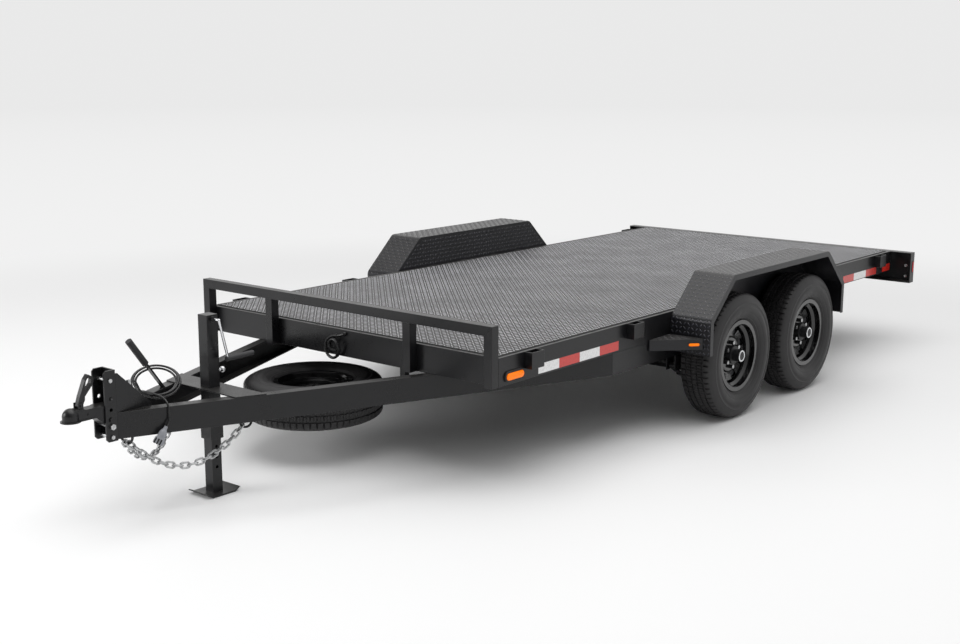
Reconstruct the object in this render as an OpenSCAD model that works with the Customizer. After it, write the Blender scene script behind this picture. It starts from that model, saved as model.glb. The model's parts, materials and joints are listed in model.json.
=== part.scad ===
/* [Bed] */
// Length of the bed, from the front rail to the rear face of the bumper
bed_l = 4614; // [4300:1:5600]
// Width of the bed over its side channels
bed_w = 2083; // [1800:1:2120]
// Height of the deck surface above the ground
deck_h = 657; // [640:1:760]
// Thickness of the deck plate
deck_t = 4; // [3:0.5:8]
// Strip of rail flange left bare around the deck plate
deck_inset = 25; // [10:1:40]
// Height of the side channels
rail_h = 140; // [120:1:170]
// Width of the side channels' flanges
rail_flange_w = 60; // [50:1:70]
// Thickness of the side channels' webs
rail_web_t = 7; // [5:0.5:10]
// Thickness of the side channels' flanges
rail_flange_t = 10; // [7:0.5:12]
// Number of crossmembers under the deck
crossmember_count = 7; // [5:1:10]
// Height of a crossmember
crossmember_h = 76; // [60:1:90]
// Width of a crossmember's flanges
crossmember_w = 35; // [30:1:50]
// Depth of the bumper channel
bumper_d = 66; // [50:1:80]
// Height of the bumper channel
bumper_h = 217; // [180:1:240]
// Length of the bumper, across the trailer
bumper_w = 2390; // [2140:1:2560]
// Wall of the bumper channel
bumper_t = 8; // [5:0.5:10]

/* [Front rail] */
// Side of the square tube of the front rail
tube_w = 50; // [40:1:60]
// Wall of that tube
tube_t = 4; // [3:0.5:6]
// Height of the front rail's top above the ground
front_rail_h = 811; // [760:1:960]
// Distance of the middle posts from the centre line
mid_post_x = 500; // [300:5:700]

/* [Tongue] */
// Distance from the ball centre to the front of the bed
ball_reach = 1562; // [1400:1:2000]
// Height of the tongue channels
tongue_h = 120; // [100:1:140]
// Width of the tongue channels' flanges
tongue_flange_w = 55; // [45:1:65]
// Thickness of the tongue channels' webs
tongue_web_t = 7; // [5:0.5:9]
// Thickness of the tongue channels' flanges
tongue_flange_t = 9; // [7:0.5:11]
// Distance from the front of the bed to the bend under the side channels
bend_from_front = 1001; // [700:1:1300]
// Distance from the front of the bed to the end of the lower rails
lower_rail_end = 3362; // [3250:1:3700]

/* [Coupler] */
// Radius of the ball socket
socket_r = 30; // [25:0.5:32]
// Wall of the coupler's dome
dome_t = 5.5; // [4:0.5:8]
// Radius of the coupler's lip
lip_r = 44; // [42:1:50]
// Height of the ball centre above the ground
ball_h = 530; // [500:1:560]
// Width of the coupler channel
coupler_ch_w = 92; // [84:1:110]
// Depth of the coupler channel
coupler_ch_d = 58; // [50:1:80]
// Wall of the coupler channel
coupler_ch_t = 8; // [6:0.5:10]
// Height of the coupler channel's lower end above the ground
coupler_ch_z = 388; // [370:1:400]
// Length of the coupler channel
coupler_ch_h = 318; // [300:1:360]
// Distance from the ball centre to the back of the coupler channel
coupler_l = 202; // [180:1:240]
// Radius of the bolt holes in the coupler channel
hole_r = 8.5; // [6:0.5:10]

/* [Jack] */
// Distance from the ball centre to the jack's centre
jack_from_ball = 753; // [650:1:850]
// Side of the jack's square tube
jack_tube_w = 64; // [60:1:76]
// Wall of the jack's tube
jack_tube_t = 3.5; // [3:0.5:5]
// Height of the jack's top above the ground
jack_top = 863; // [800:1:950]
// Clearance of the sliding leg in the tube
leg_gap = 0.5; // [0.3:0.1:1]
// Length of the foot plate, along the trailer
foot_l = 190; // [150:1:220]
// Width of the foot plate
foot_w = 150; // [120:1:180]

/* [Wheels] */
// Width of the trailer over its fenders
overall_w = 2591; // [2560:1:2660]
// Outer radius of a tyre
tyre_r = 362; // [340:1:372]
// Width of a tyre
tyre_w = 220; // [200:1:226]
// Radius of the rim's bead seat
rim_r = 190; // [178:1:203]
// Distance from the front of the bed to the middle of the two axles
axle_from_front = 2397; // [2200:1:2600]
// Distance between the two axles
axle_pitch = 846; // [820:1:900]
// Drop of the axle beams below the spindles
axle_drop = 102; // [76:1:120]
// Diameter of the axle beams
axle_d = 76; // [60:1:89]

/* [Fenders] */
// Height of the fender's top above the ground
fender_top = 853; // [830:1:950]
// Half the length of the fender's flat top
fender_half_top = 590; // [520:1:680]
// Half the length of the fender at its widest
fender_half_l = 832; // [815:1:900]
// Height of the knee where the slope meets the upright end
fender_knee = 628; // [560:1:700]
// Height of the fender's lowest edge
fender_bottom = 432; // [400:1:500]
// Thickness of the fender's plate
fender_t = 3; // [2:0.5:5]
// Depth of the lip along the fender's outer edge
fender_lip = 32; // [20:1:50]
// Outer radius of the fender's bends
fender_bend_r = 42; // [36:1:60]

/* [Hidden] */
$fn = 48;

frame_black = "#2e2e30";
rubber_black = "#262627";

// Stations along the trailer, from the coupler's lip to the tail lights, with the middle at y = 0
half_w = bed_w / 2;
light_t = 10;
total_l = lip_r + ball_reach + bed_l + light_t;
y_ball = -total_l / 2 + lip_r;
y_front = y_ball + ball_reach;
y_rear = total_l / 2 - light_t;
y_bumper = y_rear - bumper_d;
y_channel = y_front + tube_w;
y_bend = y_front + bend_from_front;
y_axles = y_front + axle_from_front;
y_jack = y_ball + jack_from_ball;
y_coupler_back = y_ball + coupler_l;

// Heights of the frame members
rail_top = deck_h - deck_t;
rail_z = rail_top - rail_h;
tongue_top = rail_z;
tongue_z = tongue_top - tongue_h;

// Tongue: from the coupler channel's edge to the bend at the bed's edge
tongue_front_x = coupler_ch_w / 2;
tongue_run = y_bend - y_coupler_back;
tongue_a = atan((half_w - tongue_front_x) / tongue_run);
tongue_l = norm([half_w - tongue_front_x, tongue_run]);
// Outer edge of the tongue at a station
function tongue_x(y) = tongue_front_x + (y - y_coupler_back) * tan(tongue_a);
far = 8000;

// A channel section lying along +Y, with its web's outer face at x = 0 and its flanges towards -X
module channel_y(len, h, w, web, fl) {
  difference() {
    translate([-w, 0, 0]) cube([w, len, h]);
    translate([-w - 1, -1, fl]) cube([w - web + 1, len + 2, h - 2 * fl]);
  }
}

// A plate cut from a polygon in the YZ plane, centred on x
module side_cut(points, w) {
  rotate([90, 0, 90]) translate([0, 0, -w / 2]) linear_extrude(w) polygon(points);
}

// A plate cut from a polygon in the XY plane, standing on z
module plan_cut(points, z, h) {
  translate([0, 0, z]) linear_extrude(h) polygon(points);
}

// Arc of radius r in the corner b of an outline that comes from a and goes on to c
arc_steps = 6;
function corner(a, b, c, r) = let(u = unit(a - b), v = unit(c - b), half = acos(u * v) / 2,
  centre = b + unit(u + v) * r / sin(half), from = b + u * r / tan(half) - centre,
  turn = sign(cross(v, u)) * (180 - 2 * half) / arc_steps)
  [for (k = [0:arc_steps]) centre + [from[0] * cos(turn * k) - from[1] * sin(turn * k),
    from[0] * sin(turn * k) + from[1] * cos(turn * k)]];
// A closed outline with all its corners rounded
function rounded(p, r) = let(n = len(p))
  [for (i = [0:n - 1]) each corner(p[(i + n - 1) % n], p[i], p[(i + 1) % n], r)];
// An open line with its bends rounded
function bent(p, r) = concat([p[0]], [for (i = [1:len(p) - 2]) each corner(p[i - 1], p[i], p[i + 1], r)],
  [p[len(p) - 1]]);

module each_side() {
  children();
  mirror([1, 0, 0]) children();
}

// Bed frame

module deck_plate() {
  color("#4a4b50") translate([-half_w + deck_inset, y_channel + deck_inset, rail_top])
    cube([bed_w - 2 * deck_inset, y_bumper - y_channel - 2 * deck_inset, deck_t]);
}

module side_rail(right) {
  color(frame_black) mirror([right ? 1 : 0, 0, 0]) intersection() {
    translate([half_w, y_channel, rail_z])
      channel_y(y_bumper - y_channel, rail_h, rail_flange_w, rail_web_t, rail_flange_t);
    side_mitre();
  }
}

// Plan of the left side channel behind its mitre
module side_mitre() {
  plan_cut([[half_w, y_channel], [half_w - far, y_channel + far], [half_w, y_channel + far]], 0, far);
}

module front_channel() {
  color(frame_black) intersection() {
    translate([-half_w, y_channel, rail_z]) rotate([0, 0, -90])
      channel_y(bed_w, rail_h, rail_flange_w, rail_web_t, rail_flange_t);
    plan_cut([[-half_w, y_channel], [half_w, y_channel], [0, y_channel + half_w]], 0, far);
  }
}

function crossmember_y(i) = let(first = y_channel + rail_flange_w)
  first + i * (y_bumper - first) / (crossmember_count + 1);

// Channels across the bed, coped to pass the side channels' top flanges
module crossmembers() {
  inner = half_w - rail_web_t;
  cope = rail_flange_w - rail_web_t;
  color(frame_black) for (i = [1:crossmember_count]) difference() {
    translate([-inner, crossmember_y(i) - crossmember_w / 2, rail_top - crossmember_h]) rotate([0, 0, -90])
      channel_y(2 * inner, crossmember_h, crossmember_w, 5, 7);
    each_side() translate([inner - cope, crossmember_y(i) - crossmember_w, rail_top - rail_flange_t])
      cube([cope + 1, 2 * crossmember_w, rail_flange_t + 1]);
  }
}

// Channel across the rear, open to the front, closed by a plate at each end
module rear_bumper() {
  color(frame_black) translate([-bumper_w / 2, y_bumper, rail_top - bumper_h]) difference() {
    cube([bumper_w, bumper_d, bumper_h]);
    translate([bumper_t, -1, bumper_t])
      cube([bumper_w - 2 * bumper_t, bumper_d - bumper_t + 1, bumper_h - 2 * bumper_t]);
  }
}

// Front rail

// Outline of the mitred top tube, and of its hollow when inset by the wall
function top_tube(o) = let(z = front_rail_h - tube_w)
  [[-half_w + o, front_rail_h - o], [half_w - o, front_rail_h - o],
  [half_w - tube_w + o, z + o], [-half_w + tube_w - o, z + o]];
// Outline of the left end post, mitred at its top
function end_post(o) = [[half_w - o, rail_z - o], [half_w - o, front_rail_h - o],
  [half_w - tube_w + o, front_rail_h - tube_w + o], [half_w - tube_w + o, rail_z - o]];

// A tube with the given outline and hollow in the XZ plane, lying against the front of the bed
module front_tube(outline, hollow) {
  translate([0, y_channel, 0]) rotate([90, 0, 0]) difference() {
    linear_extrude(tube_w) polygon(outline);
    translate([0, 0, tube_t]) linear_extrude(tube_w - 2 * tube_t) polygon(hollow);
  }
}

module front_rail_top() {
  color(frame_black) front_tube(top_tube(0), top_tube(tube_t));
}

// End posts run down to the bottom of the bed, middle posts stand on the tongue
module front_rail_posts() {
  color(frame_black) each_side() {
    front_tube(end_post(0), end_post(tube_t));
    translate([mid_post_x - tube_w / 2, y_front, tongue_top])
      cube([tube_w, tube_w, front_rail_h - tube_w - tongue_top]);
  }
}

// Tongue

module bend_side(front) {
  translate([half_w, y_bend, 0]) rotate([0, 0, -tongue_a / 2]) translate([-far, front ? -far : 0, 0])
    cube([2 * far, far, far]);
}

module tongue(right) {
  color(frame_black) mirror([right ? 1 : 0, 0, 0]) intersection() {
    translate([tongue_front_x, y_coupler_back, tongue_z]) rotate([0, 0, -tongue_a]) translate([0, -100, 0])
      channel_y(tongue_l + 200, tongue_h, tongue_flange_w, tongue_web_t, tongue_flange_t);
    bend_side(true);
    translate([0, y_coupler_back, 0]) cube([far, far, far]);
  }
}

module lower_rail(right) {
  color(frame_black) mirror([right ? 1 : 0, 0, 0]) intersection() {
    translate([half_w, y_bend - 200, tongue_z])
      channel_y(lower_rail_end - bend_from_front + 200, tongue_h, tongue_flange_w, tongue_web_t,
        tongue_flange_t);
    bend_side(false);
  }
}

jack_plate_t = 6;
module jack_plate() {
  y0 = y_jack - 60;
  y1 = y_jack + 75;
  gap = jack_tube_w / 2;
  color(frame_black) difference() {
    plan_cut([[-tongue_x(y0), y0], [tongue_x(y0), y0], [tongue_x(y1), y1], [-tongue_x(y1), y1]],
      tongue_top, jack_plate_t);
    translate([-gap, y_jack - gap, tongue_top - 1]) cube([2 * gap, 2 * gap, jack_plate_t + 2]);
  }
}

gusset_t = 8;
gusset_l = 180;
gusset_nose = 12;
gusset_z = coupler_ch_z + coupler_ch_h - 18;
// Height of a gusset's sloping edge at a station
function gusset_edge(y) = gusset_z + (tongue_top + gusset_nose - gusset_z)
  * (y - y_coupler_back - gusset_nose) / (gusset_l - gusset_nose);
module tongue_gussets() {
  y1 = y_coupler_back + gusset_l;
  color(frame_black) each_side() translate([tongue_front_x - gusset_t / 2, 0, 0])
    side_cut([[y_coupler_back, tongue_top], [y1, tongue_top], [y1, gusset_edge(y1)],
      [y_coupler_back + gusset_nose, gusset_z], [y_coupler_back, gusset_z]], gusset_t);
}

// Coupler

// Heights of the bolt holes above the channel's lower end: the coupler's two bolts go through the second
// and third
hole_up = [20, 67.5, 98, 142, 192, 273];
function hole_z(i) = coupler_ch_z + hole_up[i];
channel_nip = 11;

module coupler_channel() {
  w = coupler_ch_w;
  d = coupler_ch_d;
  t = coupler_ch_t;
  c = channel_nip;
  top = coupler_ch_h;
  color(frame_black) translate([0, y_coupler_back, coupler_ch_z]) difference() {
    side_cut([[0, 0], [0, top], [-d + c, top], [-d, top - c], [-d, c], [-d + c, 0]], w);
    translate([-w / 2 + t, -d - 1, -1]) cube([w - 2 * t, d - t + 1, top + 2]);
    for (up = hole_up) translate([-w, -d / 2, up]) rotate([0, 90, 0]) cylinder(r = hole_r, h = 2 * w);
  }
}

coupler_gap = 1;
arm_w = 52;
lip_t = 5;
dome_top = ball_h + socket_r;
arm_top = ball_h + 22;
arm_end_z = hole_z(1) + 16;
coupler_tail_z = hole_z(1) - 18;
latch_w = 24;
latch_gap = 1.5;
latch_pin_r = 5;
pin_gap = 0.06;
latch_y = y_ball + 42;
latch_z = dome_top + 10;
module coupler() {
  tail_w = coupler_ch_w - 2 * coupler_ch_t - 2 * coupler_gap;
  y_tail = y_coupler_back - coupler_ch_t - coupler_gap;
  y_in = y_coupler_back - coupler_ch_d;
  dome_r = socket_r + dome_t;
  z_lip = ball_h - 25;
  color(frame_black) difference() {
    union() {
      translate([0, y_ball, ball_h]) sphere(r = dome_r);
      translate([0, y_ball, z_lip]) cylinder(r = dome_r, h = 25);
      translate([0, y_ball, z_lip]) cylinder(r = lip_r, h = lip_t);
      plan_cut([[-arm_w / 2 - 6, y_ball], [arm_w / 2 + 6, y_ball], [arm_w / 2 + 2, y_in - 34],
        [-arm_w / 2 - 2, y_in - 34]],
        z_lip, lip_t);
      intersection() {
        union() {
          side_cut([[y_ball, z_lip], [y_in - 34, z_lip], [y_in, arm_end_z], [y_in, arm_top],
            [y_ball + 62, arm_top],
            [y_ball + 50, dome_top - 3], [y_ball, dome_top - 3]], tail_w);
          side_cut([[y_in - 1, arm_end_z], [y_tail, coupler_tail_z], [y_tail, arm_top],
            [y_in - 1, arm_top]], tail_w);
        }
        plan_cut([[-arm_w / 2, y_ball], [arm_w / 2, y_ball], [arm_w / 2, y_in - 30],
          [tail_w / 2, y_in - 12],
          [tail_w / 2, y_tail], [-tail_w / 2, y_tail], [-tail_w / 2, y_in - 12], [-arm_w / 2, y_in - 30]],
            0, far);
      }
      each_side() {
        translate([latch_w / 2 + latch_gap, latch_y - 13, dome_top - 14]) cube([5, 26, 36]);
        translate([arm_w / 2 - 1, y_ball + 74, ball_h - 2]) rotate([0, 90, 0]) cylinder(r = 6, h = 4);
      }
      translate([-latch_w, latch_y, latch_z]) rotate([0, 90, 0]) cylinder(r = latch_pin_r, h = 2 * latch_w);
    }
    translate([0, y_ball, ball_h]) sphere(r = socket_r);
    translate([0, y_ball, z_lip - 1]) cylinder(r = socket_r, h = 26);
    translate([0, y_ball, z_lip - 51]) cylinder(r = 2 * lip_r, h = 51);
    for (i = [1:3]) translate([-tail_w, y_coupler_back - coupler_ch_d / 2, hole_z(i)]) rotate([0, 90, 0])
      cylinder(r = hole_r, h = 2 * tail_w);
  }
}

// Lever with a long loop for the hand, leaning back on its pin
module coupler_latch() {
  color(frame_black) translate([0, latch_y, latch_z]) rotate([-26, 0, 0]) difference() {
    union() {
      rotate([0, 90, 0]) cylinder(r = 10, h = latch_w, center = true);
      side_cut(rounded([[-9, -4], [13, 0], [15, 30], [9, 44], [26, 104], [20, 134], [-14, 138],
        [-20, 112], [-16, 36], [-13, 16]], 4), latch_w);
    }
    side_cut(rounded([[-4, 72], [5, 70], [15, 106], [12, 122], [-9, 124], [-12, 108]], 3), 2 * latch_w);
    rotate([0, 90, 0]) cylinder(r = latch_pin_r + pin_gap, h = 2 * latch_w, center = true);
  }
}

module bolt_x(z, len, r) {
  translate([-len / 2, y_coupler_back - coupler_ch_d / 2, z]) rotate([0, 90, 0]) cylinder(r = r, h = len);
}

bolt_gap = 0.4;
nut_h = 12;
small_nut_h = 7;
// Two bolts through the coupler, and a smaller one at each end of the channel, all with a hexagon at both
// ends
module coupler_bolts() {
  color("silver") for (b = [[1, 14, nut_h], [2, 12, small_nut_h], [0, 10, small_nut_h],
    [5, 10, small_nut_h]]) {
    bolt_x(hole_z(b[0]), coupler_ch_w, hole_r - bolt_gap);
    for (s = [-1, 1])
      translate([s * (coupler_ch_w + b[2]) / 2, y_coupler_back - coupler_ch_d / 2, hole_z(b[0])])
        rotate([0, 90, 0])
        cylinder(r = b[1], h = b[2], center = true, $fn = 6);
  }
}

// Jack

sleeve_z = tongue_z - 125;
module jack_tube() {
  o = jack_tube_w;
  i = o - 2 * jack_tube_t;
  color(frame_black) translate([0, y_jack, 0]) difference() {
    union() {
      translate([-o / 2, -o / 2, sleeve_z]) cube([o, o, jack_top - sleeve_z]);
      translate([-o / 2 - 5, -o / 2 - 5, sleeve_z]) cube([o + 10, o + 10, 105]);
      translate([0, 0, crank_z]) rotate([0, 90, 0]) cylinder(r = 14, h = o / 2 + crank_boss);
    }
    translate([-i / 2, -i / 2, sleeve_z - 1]) cube([i, i, jack_top - 3 - sleeve_z]);
    translate([0, 0, crank_z]) rotate([0, 90, 0]) cylinder(r = crank_r + pin_gap, h = o);
  }
}

leg_w = jack_tube_w - 2 * jack_tube_t - 2 * leg_gap;
foot_t = 8;
foot_lip = 22;
module jack_leg() {
  color(frame_black) translate([0, y_jack, 0]) {
    difference() {
      translate([-leg_w / 2, -leg_w / 2, foot_t]) cube([leg_w, leg_w, 480]);
      translate([-leg_w / 2 + 4, -leg_w / 2 + 4, foot_t + 20]) cube([leg_w - 8, leg_w - 8, 480]);
      for (i = [0:3]) translate([0, 0, 130 + 50 * i]) rotate([0, 90, 0])
        cylinder(r = 8, h = 200, center = true);
    }
    side_cut([[-foot_l / 2 + 30, 0], [foot_l / 2 - 30, 0], [foot_l / 2, foot_lip - 4],
      [foot_l / 2 - 3, foot_lip],
      [foot_l / 2 - 34, foot_t], [-foot_l / 2 + 34, foot_t], [-foot_l / 2 + 3, foot_lip],
        [-foot_l / 2, foot_lip - 4]],
      foot_w);
  }
}

crank_z = jack_top - 20;
crank_x = 80;
crank_drop = 188;
crank_back = 46;
crank_r = 6.5;
crank_boss = 10;
crank_in = 14;
module crank_rod(p, q, r) {
  d = q - p;
  l = norm(d);
  translate(p) rotate([0, acos(d[2] / l), atan2(d[1], d[0])]) cylinder(r = r, h = l);
}

module jack_crank() {
  x0 = jack_tube_w / 2 - crank_in;
  knee = [crank_x, y_jack, crank_z];
  low = [crank_x, y_jack + crank_back, crank_z - crank_drop];
  color("silver") {
    crank_rod([x0, y_jack, crank_z], knee, crank_r);
    translate(knee) sphere(r = crank_r + 0.5);
    crank_rod(knee, low, crank_r);
  }
  color("#3a3b3d") {
    crank_rod(low + [0, -10, 0], low + [0, 150, 3], 12);
  }
}

hanger_foot = [-174, y_ball + 613, tongue_top];
hanger_top = [-174, y_ball + 434, 763];
bar_w = 26;
bar_t = 8;
grip_l = 150;
grip_r = 16;
// Flat bar for the cable, standing on the right tongue channel, with a rubber grip at its top
module cable_hanger() {
  reach = hanger_top - hanger_foot;
  bar_l = norm(reach) - grip_l;
  grip = hanger_top - unit(reach) * grip_l;
  color(frame_black) intersection() {
    translate(hanger_foot) rotate([atan2(-reach[1], reach[2]), 0, 0])
      translate([-bar_w / 2, -bar_t / 2, -bar_w])
      cube([bar_w, bar_t, bar_l + 1.5 * bar_w]);
    translate([-far / 2, -far / 2, tongue_top]) cube(far);
  }
  color(rubber_black) crank_rod(grip, hanger_top, grip_r);
}

// Safety chains

wire_r = 4.8;
link_half_w = 17;
link_gap = 0.5;
chain_links = 18;
chain_sag = 148;
loop_r = 45;
loop_wire = 6;
ring_r = 27;
ring_wire = 5.5;
loop_at = [0, y_ball + 276, tongue_z];
ring_y = y_jack - 2;
ring_at = [tongue_x(ring_y) - tongue_flange_w * 0.55, ring_y, tongue_z];

module half_ring(r, wire) {
  rotate([-90, 0, 0]) rotate_extrude(angle = 180) translate([r, 0]) circle(r = wire, $fn = 24);
}

module chain_loops() {
  color(frame_black) {
    translate(loop_at) half_ring(loop_r, loop_wire);
    each_side() translate(ring_at) rotate([0, 0, 90 - tongue_a]) half_ring(ring_r, ring_wire);
  }
}

chain_run = [ring_at[0], ring_at[1] - loop_at[1]];
chain_dir = chain_run / norm(chain_run);
chain_slope = atan(4 * chain_sag / norm(chain_run));
chain_out = [chain_dir[0] * cos(chain_slope), chain_dir[1] * cos(chain_slope), -sin(chain_slope)];
chain_in = [chain_out[0], chain_out[1], -chain_out[2]];
// Where the chain's pull meets the loop and the ring square to their wire
loop_lean = atan(chain_dir[0] / tan(chain_slope));
loop_bar = loop_at + loop_r * [sin(loop_lean), 0, -cos(loop_lean)];
ring_bar = ring_at - ring_r * [sin(tongue_a) * cos(chain_slope), cos(tongue_a) * cos(chain_slope),
  sin(chain_slope)];
chain_start = loop_bar - chain_out * (loop_wire + link_gap / 2);
chain_end = ring_bar + chain_in * (ring_wire + link_gap / 2);
// Turn of the first link that puts it square to the loop's wire
first_across = [-chain_dir[1], chain_dir[0], 0];
loop_tangent = [cos(loop_lean), 0, sin(loop_lean)];
first_turn = 90 - atan2(-loop_tangent * first_across, loop_tangent * cross(chain_out, first_across));

// The hanging curve, as a parabola between its two ends
function chain_point(s) = chain_start + (chain_end - chain_start) * s - [0, 0, 4 * chain_sag * s * (1 - s)];
fine = 180;
chain_arc = [for (i = 0, a = 0; i <= fine; i = i + 1,
  a = a + (i <= fine ? norm(chain_point(i / fine) - chain_point((i - 1) / fine)) : 0)) a];
function station(a, i = 0) = chain_arc[i + 1] >= a || i + 1 >= fine ?
  (i + (a - chain_arc[i]) / (chain_arc[i + 1] - chain_arc[i])) / fine : station(a, i + 1);
link_pitch = chain_arc[fine] / chain_links;
chain_joint = [for (i = [0:chain_links]) chain_point(station(i * link_pitch))];

// One link along +X, centred, lying in the XY plane
module link(pitch) {
  c = link_half_w - wire_r;
  s = (pitch + link_gap) / 2 + wire_r - c;
  for (a = [0, 180]) rotate([0, 0, a]) {
    translate([s, 0, 0]) rotate([0, 0, -90]) rotate_extrude(angle = 180) translate([c, 0])
      circle(r = wire_r, $fn = 24);
    translate([-s, c, 0]) rotate([0, 90, 0]) cylinder(r = wire_r, h = 2 * s, $fn = 24);
  }
}

module safety_chain(right) {
  color("silver") mirror([right ? 1 : 0, 0, 0]) for (i = [0:chain_links - 1]) {
    p = chain_joint[i];
    d = chain_joint[i + 1] - p;
    translate(p + d / 2) rotate([0, -asin(d[2] / norm(d)), atan2(d[1], d[0])])
      rotate([90 + 90 * i - first_turn * (1 - i / (chain_links - 1)), 0, 0]) link(norm(d));
  }
}

// Spare wheel under the tongue

spare_at = [-130, y_front - 32, 300 - tyre_w / 2];

// Half width between the rim's flanges, where the tyre's beads sit
bead_w = 76;
bead_gap = 0.3;
// Cross-section of a tyre, with its axis along Y and its middle at y = 0
function tyre_half(r, rr, h)
  = [[rr, bead_w - bead_gap], [rr + 17, bead_w - bead_gap], [rr + 27, bead_w + 14],
  [rr + 56, h - 4], [rr + 84, h], [rr + 112, h - 2], [r - 34, h - 8], [r - 16, h - 18], [r - 5, h - 32],
    [r, h - 48]];
module tyre_profile(r, rr, w) {
  half = tyre_half(r, rr, w / 2);
  polygon(concat(half, [for (i = [len(half) - 1:-1:0]) [half[i][0], -half[i][1]]]));
}

module tyre() {
  color(rubber_black) rotate_extrude($fn = 96) tyre_profile(tyre_r, rim_r, tyre_w);
}

// A rim along +Z, with its outer side up: barrel, flanges and a disc with windows
rim_windows = 8;
disc_z = 20;
stud_circle_r = 70;
bore_r = 53;
rim_t = 6;
stud_r = 6.5;
flange_r = rim_r + 16;
// Face of the rim's disc, lowered by o, from the hub's bore over the bolts' flat and a dish out to the
// barrel
function dish(o) = [for (q = [[bore_r, 0], [93, 0], [99, -3], [106, -10], [120, -11], [152, -3], [160, -8],
  [167, -20]]) [q[0], disc_z + rim_t + q[1] - o]];
// Window in the disc, as seen along the axle
window = [[113, -15], [153, -30], [153, 30], [113, 15]];
module rim() {
  in = rim_r - 8;
  color("#222224") {
    rotate_extrude($fn = 96) polygon([[in, -bead_w], [rim_r - 0.3, -bead_w], [rim_r - 0.3, bead_w],
      [flange_r, bead_w], [flange_r, bead_w + 7], [in, bead_w + 7], [in - 2, bead_w - 26],
        [in - 17, bead_w - 40],
      [in - 17, -bead_w + 50], [in, -bead_w + 26]]);
    rotate_extrude($fn = 96) polygon([[in - 1, -bead_w - 7], [flange_r, -bead_w - 7], [flange_r, -bead_w],
      [in - 1, -bead_w]]);
    difference() {
      rotate_extrude($fn = 96) polygon(concat(dish(0), back(dish(rim_t))));
      for (i = [0:rim_windows - 1]) rotate([0, 0, (i + 0.5) * 360 / rim_windows])
        linear_extrude(bead_w) polygon(rounded(window, 8));
      for (i = [0:5]) rotate([0, 0, 60 * i]) translate([stud_circle_r, 0, 0])
        cylinder(r = stud_r + 1, h = bead_w);
    }
  }
}

drum_r = 150;
drum_back = -66;
cap_r = 34;
cap_l = 99;
// Brake drum, hub barrel, studs with their nuts, and the grease cap
module hub() {
  color("#202022") difference() {
    union() {
      translate([0, 0, drum_back]) cylinder(r = drum_r, h = 74);
      cylinder(r = 86, h = disc_z);
      cylinder(r = bore_r - 0.5, h = 54);
      translate([0, 0, 53]) cylinder(r = cap_r, h = cap_l - 53);
      for (i = [0:5]) rotate([0, 0, 60 * i]) translate([stud_circle_r, 0, 0]) {
        cylinder(r = stud_r, h = disc_z + rim_t + 4);
        translate([0, 0, disc_z + rim_t]) cylinder(r = 12, h = 22, $fn = 6);
      }
    }
    translate([0, 0, drum_back - 1]) cylinder(r = drum_r - 10, h = 60);
    translate([0, 0, drum_back]) cylinder(r = spindle_r + pin_gap, h = 96);
  }
}

module spare_tyre() {
  translate(spare_at) translate([0, 0, tyre_w / 2]) tyre();
}

module spare_rim() {
  translate(spare_at) translate([0, 0, tyre_w / 2]) rim();
}

carrier_w = 40;
carrier_bolt_r = 8;
// Arm under the spare wheel, hung from the first crossmember, with a bolt and a plate that clamp the
// wheel's disc
module spare_carrier() {
  x = spare_at[0];
  y = spare_at[1];
  z = spare_at[2] - carrier_w - 0.3;
  back = crossmember_y(1) + crossmember_w / 2;
  disc = spare_at[2] + tyre_w / 2 + disc_z + rim_t;
  color(frame_black) {
    translate([x - carrier_w / 2, y - 60, z]) cube([carrier_w, back - y + 60, carrier_w]);
    translate([x - carrier_w / 2, back - crossmember_w, z])
      cube([carrier_w, crossmember_w, rail_top - crossmember_h - z]);
    translate([x, y, z]) cylinder(r = carrier_bolt_r, h = disc + 30 - z);
    translate([x, y, disc + 0.3]) cylinder(r = 62, h = 8);
    translate([x, y, disc + 8]) cylinder(r = 17, h = 12, $fn = 6);
  }
}

// Stake pockets on the side channels

pocket_l = 98;
pocket_d = 48;
pocket_h = 82;
pocket_t = 6;
pocket_from_front = [294, 1176, 4315];

module stake_pockets(right) {
  color(frame_black) mirror([right ? 1 : 0, 0, 0]) for (d = pocket_from_front)
    translate([half_w, y_front + d - pocket_l / 2, rail_top - pocket_h]) difference() {
      cube([pocket_d, pocket_l, pocket_h]);
      translate([-1, pocket_t, -1]) cube([pocket_d - pocket_t + 1, pocket_l - 2 * pocket_t, pocket_h + 2]);
    }
}

// Fenders

// Outline of the fender about its middle, inset by o
fender_slope = atan2(fender_top - fender_knee, fender_half_l - fender_half_top);
function shell_points(o) = let(k = o * tan((90 - fender_slope) / 2), m = o * tan(fender_slope / 2))
  [[fender_half_l - o, fender_bottom], [fender_half_l - o, fender_knee - k],
    [fender_half_top - m, fender_top - o],
  [-fender_half_top + m, fender_top - o], [-fender_half_l + o, fender_knee - k],
    [-fender_half_l + o, fender_bottom]];
function back(p) = [for (i = [len(p) - 1:-1:0]) p[i]];
// Overlap that joins the fender's plates into one solid
join = 0.1;
function shell(o) = bent([for (q = shell_points(o)) q + [y_axles, 0]], fender_bend_r - o);

module fender(right) {
  w = overall_w / 2 - half_w;
  color("#303136") mirror([right ? 1 : 0, 0, 0]) translate([half_w, 0, 0]) {
    translate([w / 2, 0, 0]) side_cut(concat(shell(0), back(shell(fender_t))), w);
    translate([w - fender_t / 2, 0, 0])
      side_cut(concat(shell(fender_t - join), back(shell(fender_lip))), fender_t);
    translate([fender_t / 2, 0, 0]) intersection() {
      side_cut(shell(fender_t - join), fender_t);
      translate([-far / 2, -far / 2, rail_top - 20]) cube([far, far, far]);
    }
  }
}

step_l = 225;
step_w = 212;
step_h = 60;
step_top = 528;
step_t = 4;
step_nose = 10;
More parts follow.
